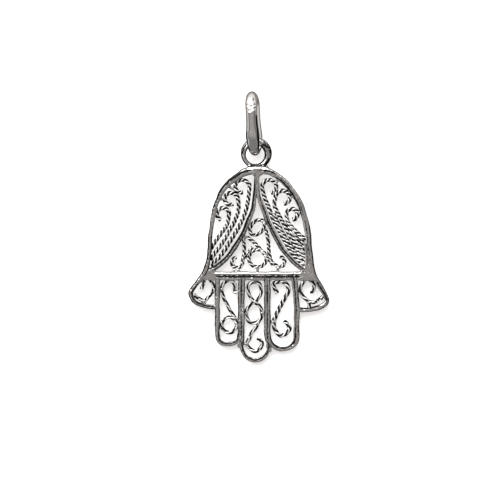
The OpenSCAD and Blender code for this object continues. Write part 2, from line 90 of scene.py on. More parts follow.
# The row of each thumb's side that is its tip
THUMB_TIP = 3
LEFT_PETAL = [
    (-0.03, 1.02, 0.6), (-0.042, 0.93, 0.62), (-0.044, 0.835, 0.7), (-0.064, 0.745, 0.9),
    (-0.094, 0.655, 1), (-0.17, 0.555, 1.02), (-0.254, 0.455, 1.02), (-0.36, 0.355, 1.02),
    (-0.49, 0.255, 1.05), (-0.62, 0.175, 1.05), (-0.77, 0.105, 1.05), (-1.03, 0.02, 1.1),
]
RIGHT_PETAL = [
    (0.02, 1.02, 0.6), (0.012, 0.93, 0.64), (0.02, 0.84, 0.8), (0.056, 0.755, 1.1),
    (0.135, 0.655, 1.15), (0.21, 0.555, 1.15), (0.304, 0.455, 1.15), (0.41, 0.355, 1.15),
    (0.53, 0.255, 1.15), (0.66, 0.18, 1.15), (0.81, 0.11, 1.15), (1.08, 0.02, 1.2),
]
# A short thin wire just inside the outline, low on the right
INNER_WIRE = [(0.955, 0.33, 0.5), (0.975, 0.22, 0.5), (0.985, 0.1, 0.5), (0.99, 0.03, 0.5)]
# Columns: x of its ends, y, share of the frame wire's width
BAR_WIRES = [(-0.92, 1, 0.024, 0.7), (-0.86, 0.94, -0.021, 1)]

# x of a wall at the bar, along the finger and at its end; length; share that is the round end;
# how square that end is; width shares of the left wall, the end and the right wall
FINGERS = {
    "left": dict(left=(-1, -1, -0.99), right=(-0.435, -0.44, -0.465), long=LEFT_FINGER_L,
                 round=0.12, square=2.6, widths=(1.12, 0.9, 0.8)),
    "middle": dict(left=(-0.35, -0.36, -0.4), right=(0.22, 0.22, 0.31), long=MIDDLE_FINGER_L,
                   round=0.2, square=2.0, widths=(0.8, 0.95, 0.74)),
    "right": dict(left=(0.285, 0.295, 0.31), right=(0.92, 0.99, 0.99), long=RIGHT_FINGER_L,
                  round=0.19, square=2.3, widths=(0.76, 1, 1.3)),
}
# Places down a wall: which x of the finger's table, share of the straight length
WALL_PLACES = [(0, 0), (1, 0.42), (1, 0.9)]
# Where on the round end a finger touches the ground, in degrees
TOUCH_ANGLE = 290

# Scrolls: the stem's points; the curl's centre; its first and last radius, as shares of a full
# curl, and angle
LEFT_SCROLLS = [
    ([(-0.94, 0.105), (-0.74, 0.195), (-0.54, 0.345), (-0.32, 0.535), (-0.2, 0.705)],
     (-0.31, 0.89), 1.08, 0.75, 0, 285),
    ([(-0.94, 0.16), (-0.82, 0.245), (-0.68, 0.34), (-0.44, 0.56), (-0.37, 0.68)],
     (-0.53, 0.765), 1, 0.7, 0, 300),
    ([(-0.95, 0.24), (-0.86, 0.325), (-0.72, 0.425), (-0.6, 0.515)],
     (-0.68, 0.62), 0.8, 0.86, 0, 250),
]
RIGHT_SCROLLS = [
    ([(0.98, 0.085), (0.84, 0.155), (0.68, 0.245), (0.56, 0.345), (0.445, 0.445),
      (0.32, 0.565), (0.24, 0.675), (0.15, 0.785)], (0.25, 0.89), 1.05, 0.85, 180, -80),
    ([(0.95, 0.135), (0.8, 0.265), (0.66, 0.395), (0.56, 0.495), (0.43, 0.615),
      (0.345, 0.705)], (0.52, 0.78), 1.1, 0.82, 180, -85),
    ([(0.98, 0.36), (0.8, 0.435), (0.7, 0.485), (0.62, 0.535)],
     (0.7, 0.615), 0.8, 0.72, 195, -90),
]
RIGHT_STRANDS = [
    [(0.33, 0.62), (0.5, 0.44), (0.7, 0.28), (0.94, 0.115)],
    [(0.6, 0.56), (0.74, 0.38), (0.9, 0.22), (0.99, 0.14)],
    [(0.72, 0.46), (0.84, 0.32), (0.99, 0.19)],
    [(0.86, 0.4), (0.93, 0.31), (1, 0.25)],
]
PALM_SLANT = ([(-0.22, 0.395), (-0.06, 0.335), (0.1, 0.245), (0.25, 0.155)],
              (0.45, 0.14), 0.68, 0.7, 215, 450)
PALM_LEFT = ([(-0.27, 0.375), (-0.26, 0.25)], (-0.4, 0.135), 0.76, 0.7, 10, -265)
PALM_TAIL = [(-0.25, 0.18), (-0.17, 0.235), (-0.09, 0.29)]
PALM_RIGHT = [(0.17, 0.475), (0.22, 0.355), (0.24, 0.225), (0.31, 0.105)]
# Rings: centre, half length and half width as shares of a full curl, turn
UPPER_RING = ((0, 0.485), (1.19, 0.825), 48)
LOWER_RING = ((0.01, 0.175), (1.2, 1.2), 0)
LEFT_FINGER_RING = ((0.06, 0.72), (1.03, 1.05), 0)

LEFT_FINGER_SCROLL = [
    (0.76, 0.235), (0.46, 0.227), (0.59, 0.14), (0.24, 0.07), (-0.25, 0.08), (-0.55, 0.147),
    (-0.62, 0.227), (-0.38, 0.337), (0.1, 0.49), (0.5, 0.594), (0.68, 0.65),
]
MIDDLE_EIGHT = [
    (0, 0.31), (0.43, 0.256), (0.6, 0.173), (0.43, 0.095), (-0.03, 0.07), (-0.44, 0.1),
    (-0.58, 0.167), (-0.4, 0.232), (-0.07, 0.298), (0.39, 0.35), (0.67, 0.42), (0.56, 0.5),
    (0.14, 0.554), (-0.36, 0.548), (-0.67, 0.488), (-0.67, 0.41), (-0.4, 0.345), (0, 0.31),
]
MIDDLE_HOOK = [
    (0.52, 0.5), (0.14, 0.607), (-0.23, 0.673), (-0.44, 0.744), (-0.65, 0.81), (-0.36, 0.863),
    (0.06, 0.893), (0.47, 0.863), (0.68, 0.804), (0.52, 0.756), (0.22, 0.738),
]
RIGHT_FINGER_SCROLL = [
    (-0.38, 0.24), (-0.6, 0.164), (-0.68, 0.11), (-0.42, 0.085), (-0.05, 0.075), (0.25, 0.11),
    (0.42, 0.171), (0.32, 0.247), (0.05, 0.336), (-0.2, 0.43), (-0.45, 0.527),
    (-0.64, 0.623), (-0.6, 0.705), (-0.42, 0.774), (-0.12, 0.815), (0.25, 0.788),
    (0.5, 0.726), (0.37, 0.66), (0.07, 0.62),
]
LEFT_THUMB_SCROLL = [
    (0.6, 0.42), (0.54, 0.23), (0.43, 0.07), (0.28, 0.11), (0.16, 0.3), (0.16, 0.48),
    (0.35, 0.67), (0.5, 0.85),
]
LEFT_THUMB_STRAND = [(0.9, 0.58), (0.76, 0.68), (0.48, 0.82)]
RIGHT_THUMB_SCROLL = [
    (0.42, 0.5), (0.52, 0.48), (0.56, 0.37), (0.49, 0.2), (0.34, 0.09), (0.19, 0.22),
    (0.11, 0.44), (0.19, 0.64), (0.36, 0.79), (0.4, 1),
]
RIGHT_THUMB_STRAND = [(0.36, 0.8), (0.55, 0.83), (0.74, 0.74), (0.86, 0.62)]

# Painted shade along the plain wires: dark lines where a wire's top turns from the light and where
# one wire is soldered beside another, each also a shallow groove. Rows are the share of the wire's
# length, the place across it from -1 to 1 (1 is to the left of its run), the depth
LEFT_SHADE_LINES = [
    [(0.02, -0.1, 0), (0.045, -0.2, 1.2), (0.1, -0.4, 1.3), (0.15, -0.55, 1.4),
     (0.24, -0.75, 1.3), (0.34, -0.9, 1), (0.42, -1, 0)],
    [(0.38, 0.95, 0), (0.48, 0.8, 0.9), (0.66, 0.75, 0.9), (0.72, 0.3, 0.4), (0.8, 0.45, 0.9),
     (0.97, 0.4, 0.9), (1, 0.4, 0.5)],
    [(0.4, -0.95, 0.6), (0.5, -0.88, 1), (0.65, -0.86, 1.1), (0.72, -0.88, 0.9),
     (0.83, -0.88, 0.9), (0.87, -0.8, 0.7), (1, -0.8, 0.7)],
]
RIGHT_SHADE_LINES = [
    [(0, -0.2, 0.2), (0.04, 0.1, 0.9), (0.08, 0.35, 1), (0.11, 0.4, 0.5), (0.2, 0.25, 0.3),
     (0.33, -0.1, 0.5), (0.5, -0.3, 0.6), (0.62, 0, 0.3)],
    [(0.1, -0.5, 0.2), (0.14, -0.35, 0.9), (0.2, -0.45, 1), (0.28, -0.6, 0.8),
     (0.4, -0.9, 0.3)],
    [(0.69, 0.1, 0), (0.73, -0.1, 1), (0.82, -0.15, 1), (0.86, -0.3, 0)],
    [(0.36, 0.95, 0), (0.45, 0.8, 0.9), (0.66, 0.85, 0.8), (0.72, 0.85, 0.6), (0.84, 0.85, 0.6),
     (0.9, 0.85, 0.4)],
    [(0.86, -0.5, 0), (0.89, -0.65, 0.9), (0.96, -0.65, 0.8), (1, -0.6, 0.6)],
]
LEFT_PETAL_SHADE_LINES = [
    [(0, -0.6, 0.4), (0.12, -0.6, 1.1), (0.5, -0.55, 1.2), (0.9, -0.6, 1), (1, -0.7, 0.2)],
    [(0.4, 0.5, 0), (0.5, 0.55, 0.6), (0.9, 0.5, 0.6), (1, 0.3, 0)],
]
RIGHT_PETAL_SHADE_LINES = [
    [(0.1, 0.8, 0.2), (0.3, 0.1, 0.8), (0.6, 0.05, 0.9), (0.9, 0.2, 0.7), (1, 0.3, 0)],
    [(0.3, -0.8, 0.3), (0.5, -0.8, 0.7), (0.95, -0.8, 0.5)],
]
BAR_SHADE_LINES = [[(0, 0.6, 0.5), (0.05, 0.6, 1.15), (0.15, 0.65, 0.95), (0.3, 0.55, 1.2),
              (0.45, 0.65, 0.95), (0.6, 0.55, 1.2), (0.8, 0.6, 0.95), (0.93, 0.55, 1.1),
              (0.98, 0.55, 0)]]
# Where a wire's top falls away from a line along it. Rows are the share of the wire's length,
# the line's place across it, the slopes to its left and to its right
LEFT_BEVEL = [(0, -0.5, 0, 0.4), (0.02, -0.45, 0, 0.5), (0.045, -0.3, 0, 0.5),
              (0.1, -0.55, 0, 0.5), (0.14, -0.8, 0, 0.4), (0.2, -1, 0, 0)]
RIGHT_BEVEL = [(0, 0.5, 0.4, 0), (0.02, 0.35, 0.5, 0), (0.08, 0.4, 0.5, 0), (0.2, 0.6, 0.3, 0),
               (0.3, 0.8, 0, 0)]
BAR_BEVEL = [(0.02, 0.3, 0, 0), (0.035, 0.3, 0.6, 0), (0.5, 0.2, 0.6, 0), (0.91, 0.3, 0.6, 0),
             (0.925, 0.3, 0, 0)]
# Dark lines round the top loop: painted shade where its wire turns from the light, and where it was
# bent and soldered; each also grooves it a little. Columns: first and last angle, place across the
# wire at each, from -1 inside to 1 outside, width in mm, depth
LOOP_SHADE_LINES = [
    (128, 178, 0.25, 0.3, 0.075, 1.3), (182, 238, 0.15, 0.2, 0.08, 0.3),
    (200, 248, 0.95, 0.9, 0.08, 1.1), (150, 262, -0.8, -0.95, 0.06, 0.9),
    (258, 338, -0.9, -0.9, 0.05, 0.6), (-60, 32, 0.8, 0.9, 0.14, 1.2),
    (-55, -8, 0.2, 0.4, 0.07, 0.9), (-22, 64, -0.75, -0.6, 0.07, 1.2),
    (22, 60, 0.45, -0.15, 0.1, 1.2), (10, 80, 0.5, 0.5, 0.3, 0.42),
    (240, 310, -0.1, -0.1, 0.1, 1.2),
]
# Where the loop's top is worn outward: the middle angle, the reach either way, the slope, how
# much of it there is before it is capped at 1, and the place across the wire from which it falls
WORN_AT, WORN_REACH, WORN_SLOPE, WORN_PEAK, WORN_FROM = 180, 80, 0.4, 1.2, -0.6
# A finger's painted shade lines: FINGER_EDGE along the joint outside it, and one along its own edge
# inside
FINGER_EDGE = [(0, -0.85, 0.4), (0.1, -0.8, 0.8), (0.18, -0.9, 0.3), (0.26, -0.8, 0.7),
               (0.36, -0.8, 0.4), (0.44, -0.9, 0.2), (0.58, -0.9, 0.2), (0.66, -0.8, 0.7),
               (0.76, -0.9, 0.3), (0.86, -0.8, 0.8), (1, -0.85, 0.4)]
FINGER_SHADE_LINES = {name: [inner, FINGER_EDGE] for name, inner in (
    ("left", [(0, 0.8, 0.6), (0.1, 0.7, 0.4), (0.2, 0.85, 0.7), (0.32, 0.7, 0.5), (0.42, 0.4, 0.9),
              (0.6, 0.4, 0.9), (0.68, 0.6, 0.5), (0.8, 0.8, 0.7), (0.9, 0.7, 0.4),
              (1, 0.8, 0.6)]),
    ("middle", [(0, 0.8, 0.5), (0.12, 0.7, 0.7), (0.24, 0.8, 0.4), (0.4, 0.3, 0.9),
                (0.6, 0.3, 0.9), (0.7, 0.6, 0.4), (0.84, 0.8, 0.7), (1, 0.7, 0.5)]),
    ("right", [(0, 0.8, 0.7), (0.16, 0.7, 0.5), (0.36, 0.7, 0.8), (0.44, 0.55, 1), (0.6, 0.5, 1),
               (0.7, 0.3, 0.6), (1, 0.2, 0.8)]),
)}

# Solder fills, by the ends or corners that each lies between, in the palm
SOLDER_FILLS = [
    [(-1.03, 0.05), (-0.87, 0.04), (-0.84, -0.03), (-1.05, -0.02)],
    [(0.9, 0.05), (1.1, 0.06), (1.13, -0.03), (0.86, -0.03)],
    [(-0.13, 1.042), (0.13, 1.042), (0, 1)], [(-1, 0.03), (-0.8, 0.095)],
    [(1.05, 0.03), (0.84, 0.1)], [(0.94, 0.05), (0.99, 0.11), (1.05, 0.05)],
    [(-0.16, 1.09), (-0.18, 1.05), (0.1, 1.05), (0.1, 1.08)],
    [(0.17, 1.1), (0.22, 1.06), (0, 1.05)],
]
# Those between the fingers' ends, also as shares of the palm
NOTCH_FILLS = [
    [(-0.345, -0.63), (-0.362, -0.7), (-0.31, -0.69)],
    [(0.225, -0.65), (0.215, -0.71), (0.255, -0.745)],
]
# The fill in a finger's upper right corner, which the left one mirrors
CORNER_FILL = [(1, 0.03), (0.78, 0.03), (1, 0.055)]
# Small joints of solder from a scroll to a frame wire, in the palm and in the fingers
PALM_JOINTS = [
    [(-0.46, 0.865), (-0.61, 0.905)], [(-0.69, 0.77), (-0.78, 0.765)],
    [(-0.84, 0.62), (-0.87, 0.62)], [(0.38, 0.93), (0.44, 0.98)],
    [(0.69, 0.79), (0.78, 0.79)], [(0.83, 0.63), (0.91, 0.645)],
    [(-0.38, 0.06), (-0.34, 0.02)], [(-0.46, 0.06), (-0.5, 0.02)], [(0.01, 0.09), (0.01, 0.02)],
    [(0.42, 0.08), (0.4, 0.02)], [(-0.2, 0.39), (-0.32, 0.4)], [(0.13, 0.53), (0.23, 0.53)],
]
FINGER_JOINTS = {
    "left": [[(-0.05, 0.07), (-0.05, 0)], [(-0.6, 0.2), (-1, 0.2)], [(0.76, 0.72), (1, 0.72)]],
    "middle": [[(-0.03, 0.07), (-0.03, 0)], [(-0.67, 0.45), (-1, 0.45)],
               [(0.67, 0.44), (1, 0.44)], [(-0.65, 0.81), (-1, 0.8)]],
    "right": [[(-0.1, 0.075), (-0.1, 0)], [(-0.64, 0.63), (-1, 0.63)]],
}
# The height of a joint as a share of the twisted wire's, that of a fill as a share of the
# frame's, and a fill's radius as a share of the frame wire's width
SOLDER_LEVEL, FILL_LEVEL, FILL_R = 0.8, 0.99, 0.4

# ---- Places in the hand's plane ----


def palm_at(p):
    """A place of the palm."""
    return np.array([p[0] * HALF_PALM, p[1] * PALM_H])


def finger_at(name, p):
    """A place of a finger, from -1 at its left wall to 1 at its right one."""
    f = FINGERS[name]
    left, right = f["left"][1], f["right"][1]
    return np.array([HALF_FINGERS * (left + (p[0] + 1) / 2 * (right - left)), -p[1] * f["long"]])


def left_thumb_at(p):
    """A place of the left thumb, outward from the fingers."""
    return np.array([-HALF_FINGERS - p[0] * LEFT_THUMB_W, -p[1] * THUMB_H])


def right_thumb_at(p):
    """A place of the right thumb, outward from the fingers."""
    return np.array([HALF_FINGERS + p[0] * RIGHT_THUMB_W, -p[1] * THUMB_H])


def set_out(runs, place):
    """Runs of a table's places, in millimetres."""
    return [[place(p) for p in run] for run in runs]


def frame_rows(rows, place):
    """The rows of a frame table as x, y and width in millimetres."""
    return [(*place(r), r[2] * FRAME_W) for r in rows]


def finger_end(name, degrees):
    """A place on the round end of a finger's wire."""
    f, a = FINGERS[name], math.radians(degrees)
    middle = HALF_FINGERS * (f["left"][2] + f["right"][2]) / 2
    half = HALF_FINGERS * (f["right"][2] - f["left"][2]) / 2
    round_l, power = f["long"] * f["round"], 2 / f["square"]
    c, s = math.cos(a), math.sin(a)
    return np.array([middle + half * math.copysign(abs(c) ** power, c),
                     -f["long"] + round_l - round_l * abs(s) ** power])


# ---- Curves ----


def smooth_run(rows, steps):
    """A smooth run through rows of numbers, with steps points between two rows."""
    p = np.array(rows, float)
    p = np.vstack([p[:1], p, p[-1:]])
    t = (np.arange(steps) / steps)[:, None]
    spans = [
        0.5 * (2 * b + (c - a) * t + (2 * a - 5 * b + 4 * c - d) * t**2
               + (3 * b - a - 3 * c + d) * t**3)
        for a, b, c, d in zip(p, p[1:], p[2:], p[3:])
    ]
    return np.vstack([*spans, p[-1:]])


def even_run(path, spacing):
    """The same path with points at an even spacing along its length."""
    along = np.concatenate([[0], np.cumsum(np.hypot(*np.diff(path[:, :2], axis=0).T))])
    count = max(2, round(along[-1] / spacing)) + 1
    places = np.linspace(0, along[-1], count)
    return np.column_stack([np.interp(places, along, col) for col in path.T])


def curl_rows(c, r_first, r_last, a_first, a_last, step=24):
    """A curl about a centre, opening or closing between two angles in degrees."""
    t = np.linspace(0, 1, math.ceil(abs(a_last - a_first) / step) + 1)
    a = np.radians(a_first + (a_last - a_first) * t)
    r = CURL_R * (r_first + (r_last - r_first) * t)
    return np.column_stack([c[0] + r * np.cos(a), c[1] + r * np.sin(a)])


def scroll_rows(scroll):
    """A scroll of the palm: its stem, then its curl."""
    stem, centre, *curl = scroll
    return np.vstack([[palm_at(p) for p in stem], curl_rows(palm_at(centre), *curl)])


def ring_rows(centre, size, turn, steps=48):
    """An oval ring, closed."""
    a, turn = np.radians(np.arange(steps + 1) * 360 / steps), math.radians(turn)
    x, y = size[0] * CURL_R * np.cos(a), size[1] * CURL_R * np.sin(a)
    return np.column_stack([centre[0] + x * math.cos(turn) - y * math.sin(turn),
                            centre[1] + x * math.sin(turn) + y * math.cos(turn)])


# ---- Meshes, as (points, faces, groove) in millimetres ----


def section(sides, power):
    """A rounded section from -1 to 1 both ways; a higher power is squarer."""
    a = np.radians((np.arange(sides) + 0.5) * 360 / sides)
    shape = np.column_stack([np.cos(a), np.sin(a)])
    return np.sign(shape) * np.abs(shape) ** (2 / power)


def skin(rings, closed=False):
    """Quads over rings of points, with flat ends unless closed."""
    count, sides = rings.shape[:2]
    i = np.arange(count if closed else count - 1)[:, None]
    k = np.arange(sides)[None, :]
    a, b = i * sides, (i + 1) % count * sides
    m = (k + 1) % sides
    quads = np.stack([a + k, a + m, b + m, b + k], axis=-1).reshape(-1, 4).tolist()
    if not closed:
        quads += [list(range(sides - 1, -1, -1)),
                  list(range((count - 1) * sides, count * sides))]
    return rings.reshape(-1, 3), quads


def sideways(path, closed):
    """The direction to the left of each point of a path."""
    if closed:
        ahead = np.roll(path[:, :2], -1, axis=0) - np.roll(path[:, :2], 1, axis=0)
    else:
        ahead = np.gradient(path[:, :2], axis=0)
    ahead /= np.linalg.norm(ahead, axis=1)[:, None]
    return np.column_stack([-ahead[:, 1], ahead[:, 0]])


def placed(path, side, across, z):
    """Points at the given distances across a path, at heights z."""
    return np.stack([path[:, None, 0] + side[:, None, 0] * across,
                     path[:, None, 1] + side[:, None, 1] * across, z], axis=-1)


def wire_mesh(path, height, shape, cap=1.0, closed=False):
    """A wire along rows of x, y and width. Its top and bottom are rounded over a cap's height,
    a share of half its width."""
    half = path[:, 2:3] / 2
    rise = shape[None, :, 1]
    rounded = cap * half
    z = MID_H + np.sign(rise) * (height / 2 - rounded) + rise * rounded
    return skin(placed(path, sideways(path, closed), half * shape[None, :, 0], z), closed)


# The plain wire's section, and how deep its rounded top is as a share of half its width
FRAME_SECTION, FRAME_CAP = section(24, 2.4), 0.8
# Shares of half a wire's width, and how far its top has dropped there, as a share of the same
RIDGE = [(0, 0), (0.55, 0.035), (0.72, 0.085), (0.86, 0.21), (1, 0.5)]
FLAT_RIDGE = [(0, 0), (0.82, 0.04), (0.92, 0.12), (1, 0.4)]
# What the tops of the bar's two wires are like: painted shade lines, bevel and ridge
BAR_TOPS = [((), BAR_BEVEL, RIDGE), (BAR_SHADE_LINES, None, FLAT_RIDGE)]


# The spacing of a wire's points. How far x, y and the width stray in a wave of how many
# millimetres, and the lengths of the waves, of which shorter ones stray less
TRACK_STEP = 0.06
STRAYS, STRAYS_FOR, STRAY_WAVES = (0.012, 0.014, 0.03), 3, (3.1, 1.7, 0.9)


def frame_track(rows, seed, shade_lines=(), bevel=None, ridge=RIDGE):
    """A plain wire's path, a little uneven as handwork is, and what its top is like."""
    path = even_run(smooth_run(rows, 8), TRACK_STEP)
    rng = np.random.default_rng(seed)
    along = np.arange(len(path)) * TRACK_STEP
    for column, amount in enumerate(STRAYS):
        for wave in STRAY_WAVES:
            path[:, column] += amount * wave / STRAYS_FOR * np.sin(
                2 * math.pi * (along / wave + rng.random()))
    return path, shade_lines, bevel, ridge


def frame_wire(track):
    """The plain wire along every second point of its path."""
    return wire_mesh(track[0][::2], FRAME_H, FRAME_SECTION, FRAME_CAP)


def joined(meshes):
    """Several meshes' points and faces as one's."""
    points, faces, start = [], [], 0
    for p, f in meshes:
        points.append(p)
        faces += [[i + start for i in face] for face in f]
        start += len(p)
    return np.vstack(points), faces


# ---- The hand's plain frame ----


def finger_rows(name):
    """Down one wall, round the end and up the other, with widths that blend at the corners."""
    f = FINGERS[name]
    foot = f["long"] * (1 - f["round"])
    left_w, end_w, right_w = f["widths"]

    def wall(side, width):
        return [(HALF_FINGERS * f[side][i], -foot * share, width * FRAME_W)
                for i, share in WALL_PLACES]

    end = []
    for a in range(180, 361, 15):
        c = math.cos(math.radians(a))
        wall_w = left_w if c < 0 else right_w
        end.append((*finger_end(name, a), FRAME_W * (end_w + (wall_w - end_w) * abs(c) ** 3)))
    return wall("left", left_w) + end + wall("right", right_w)[::-1]


# The loop wire's mean width and how much wider it is at its right and at its top, as shares of
# LOOP_WIRE_W. The sides and squareness of its section
LOOP_MEAN, LOOP_GAIN = 0.8, (0.14, 0.2)
LOOP_SECTION = section(20, 2.2)


def loop_width(a):
    """The width of the top loop's wire at an angle."""
    return LOOP_WIRE_W * (LOOP_MEAN + LOOP_GAIN[0] * np.cos(a) + LOOP_GAIN[1] * np.sin(a))


# The top edge of the solids' outline at the apex, where the loop is soldered on
APEX_TOP = 11.925
LOOP_CENTRE = np.array([-LOOP_LEFT, APEX_TOP + LOOP_HOLE_R + loop_width(1.5 * math.pi)
                        - LOOP_SINK])


def top_loop(stations=72):
    """The round ring on the apex."""
    a = np.linspace(0, 2 * math.pi, stations, endpoint=False)
    w = loop_width(a)
    r = LOOP_HOLE_R + w / 2
    path = np.column_stack([LOOP_CENTRE[0] + r * np.cos(a), LOOP_CENTRE[1] + r * np.sin(a), w])
    return wire_mesh(path, LOOP_WIRE_W, LOOP_SECTION, LOOP_WIRE_W / w[:, None], closed=True)


# A rod's levels from -1 to 1, and its radius there as a share of the full one
ROD_PROFILE = [(-1, 0.85), (-0.96, 0.96), (-0.9, 1), (0.9, 1), (0.96, 0.96), (1, 0.85)]


def rod(place, height, r, sides=12):
    """An upright rod with rounded ends, at mid height."""
    levels, shares = np.array(ROD_PROFILE).T
    a = np.radians(np.arange(sides) * 360 / sides)
    reach = r * shares
    rings = np.stack([place[0] + reach[:, None] * np.cos(a), place[1] + reach[:, None] * np.sin(a),
                      MID_H + levels[:, None] * height / 2 * np.ones(sides)], axis=-1)
    return skin(rings)


def solder_spots(places, r):
    """The spots along which solder is drawn between each two of the places."""
    p = np.array(places)
    return np.vstack([even_run(p[[i, j]], r / 2) for i in range(len(p)) for j in range(i)])


def palm_tracks():
    """The outline's two halves, the petal wires and the inner wire."""
    left = frame_rows(LEFT_SIDE, palm_at) + frame_rows(LEFT_THUMB_SIDE, left_thumb_at)
    right = frame_rows(RIGHT_SIDE, palm_at) + frame_rows(RIGHT_THUMB_SIDE, right_thumb_at)
    inside = [(LEFT_PETAL, LEFT_PETAL_SHADE_LINES), (RIGHT_PETAL, RIGHT_PETAL_SHADE_LINES), (INNER_WIRE, ())]
    return ([frame_track(left, 1, LEFT_SHADE_LINES, LEFT_BEVEL),
             frame_track(right, 2, RIGHT_SHADE_LINES, RIGHT_BEVEL)]
            + [frame_track(frame_rows(rows, palm_at), 3 + i, shade_lines)
               for i, (rows, shade_lines) in enumerate(inside)])


def finger_tracks():
    """The bar's two wires and the three fingers'."""
    bar = [frame_track(frame_rows([(x0, y, w), (x1, y, w)], palm_at), 11 + i, *extras)
           for i, ((x0, x1, y, w), extras) in enumerate(zip(BAR_WIRES, BAR_TOPS))]
    return bar + [frame_track(finger_rows(name), 13 + i, FINGER_SHADE_LINES[name], None, FLAT_RIDGE)
                  for i, name in enumerate(FINGERS)]


def finger_fills():
    """The fills between the fingers' ends and in their upper corners."""
    return set_out(NOTCH_FILLS, palm_at) + [
        [finger_at(name, (side * x, y)) for x, y in CORNER_FILL]
        for name in FINGERS for side in (-1, 1)]


def finger_joints():
    """The joints in the fingers."""
    return [[finger_at(name, p) for p in ends]
            for name, joints in FINGER_JOINTS.items() for ends in joints]


def in_turn(corners):
    """A patch's corners in turn, anticlockwise."""
    p = np.array(corners)
    x, y = (p - p.mean(axis=0)).T
    return p[np.argsort(np.arctan2(y, x))]


def slab(corners, height):
    """A flat patch between corners, at mid height."""
    ring = in_turn(corners)
    return skin(np.stack([np.column_stack([ring, np.full(len(ring), z)])
                          for z in (MID_H - height / 2, MID_H + height / 2)]))


def soldered(places, height, r):
    """Solder of a height and radius, as overlapping rods round flat patches."""
    return ([rod(q, height, r) for run in places for q in solder_spots(run, r)]
            + [slab(run, height) for run in places if len(run) > 2])


def new_mesh(name, points, faces):
    """A mesh for the scene."""
    data = bpy.data.meshes.new(name)
    data.from_pydata(points, [], faces)
    return data


def new_object(name, data):
    """An object of the scene, from its data."""
    obj = bpy.data.objects.new(name, data)
    bpy.context.collection.objects.link(obj)
    return obj


def fused(meshes, voxel):
    """One skin over overlapping meshes, as solder joins wires."""
    points, faces = joined(meshes)
    obj = new_object("fusing", new_mesh("fusing", points.tolist(), faces))
    remesh = obj.modifiers.new("fuse", "REMESH")
    remesh.mode, remesh.voxel_size = "VOXEL", voxel
    made = obj.evaluated_get(bpy.context.evaluated_depsgraph_get()).to_mesh()
    out = np.empty(len(made.vertices) * 3)
    made.vertices.foreach_get("co", out)
    quads = [list(p.vertices) for p in made.polygons]
    bpy.data.objects.remove(obj)
    return out.reshape(-1, 3), quads


def neighbours(points, faces):
    """The faces' edges, both ways, and how many of them start at each point."""
    quads = np.array(faces)
    edges = np.vstack([quads[:, [0, 1]], quads[:, [1, 2]], quads[:, [2, 3]], quads[:, [3, 0]]])
    both = np.vstack([edges, edges[:, ::-1]])
    count = np.bincount(both[:, 0], minlength=len(points))[:, None]
    return both, count


def averaged(values, both, count):
    """The mean of each point's neighbours."""
    out = np.column_stack([
        np.bincount(both[:, 0], weights=col[both[:, 1]], minlength=len(values))
        for col in values.T
    ])
    return out / count


# A step towards the neighbours and a slightly longer one back, which keeps the wire's size
SMOOTH_STEPS = (0.5, -0.52)


def relaxed(points, faces, rounds=5):
    """Smooths the voxel steps away without shrinking the wire."""
    both, count = neighbours(points, faces)
    for _ in range(rounds):
        for share in SMOOTH_STEPS:
            points = points + share * (averaged(points, both, count) - points)
    return points


def hollows(points, faces, reach=3):
    """How concave the surface is at each point: over 0 in a crevice, under 0 on an edge."""
    both, count = neighbours(points, faces)
    quads = np.array(faces)
    p = points[quads]
    normal = np.cross(p[:, 2] - p[:, 0], p[:, 3] - p[:, 1])
    at_point = np.column_stack([
        np.bincount(quads.ravel(), weights=np.repeat(normal[:, i], 4), minlength=len(points))
        for i in range(3)
    ])
    at_point /= np.linalg.norm(at_point, axis=1)[:, None] + 1e-12
    far = points
    for _ in range(reach):
        far = averaged(far, both, count)
    bend = ((far - points) * at_point).sum(axis=1)[:, None]
    for _ in range(reach):
        bend = averaged(bend, both, count)
    return bend[:, 0]


# ---- Twisted wire ----

STRANDS = 3
# The length of a full turn, and the spacing of the mesh along the wire, in millimetres
TWIST_PITCH, TWIST_STEP = 1.65, 0.045
TWIST_SHAPE = section(30, 2.5)
# The grooves between strands: their width round the wire in radians, and their depth as a
# share of its half width
GROOVE_W, GROOVE_DEPTH = 0.56, 0.42
# Where the painted shade on the flanks starts and over how much it sets in, as shares of the half
# width, and how dark it is
FLANK_FROM, FLANK_OVER, FLANK_SHADE = 0.62, 0.25, 0.3
# The way that the flanks with more painted shade face, away from the light, and how much more shade
# they have
SHADE_WAY, SHADE_GAIN = (0.6, -0.8), 0.6
# How unevenly the wire was made: the spread of its waves, and how many of each go into its length
UNSTEADY, UNSTEADY_WAVES = 0.25, (1, 2, 3, 5, 8, 13, 17)
# What those waves do to the grooves' depth, to the width and to the flanks' painted shade, and the
# least and most that they leave of a groove and of the painted shade
FADE_GAIN, BULGE_GAIN, FLANK_SHADE_GAIN = 0.8, 0.12, 0.8
GROOVE_RANGE, FLANK_RANGE = (0.4, 1.3), (0.4, 1.6)


def rising(value, start, over):
    """0 up to the start, then rising to 1 over a distance."""
    return np.clip((value - start) / over, 0, 1)


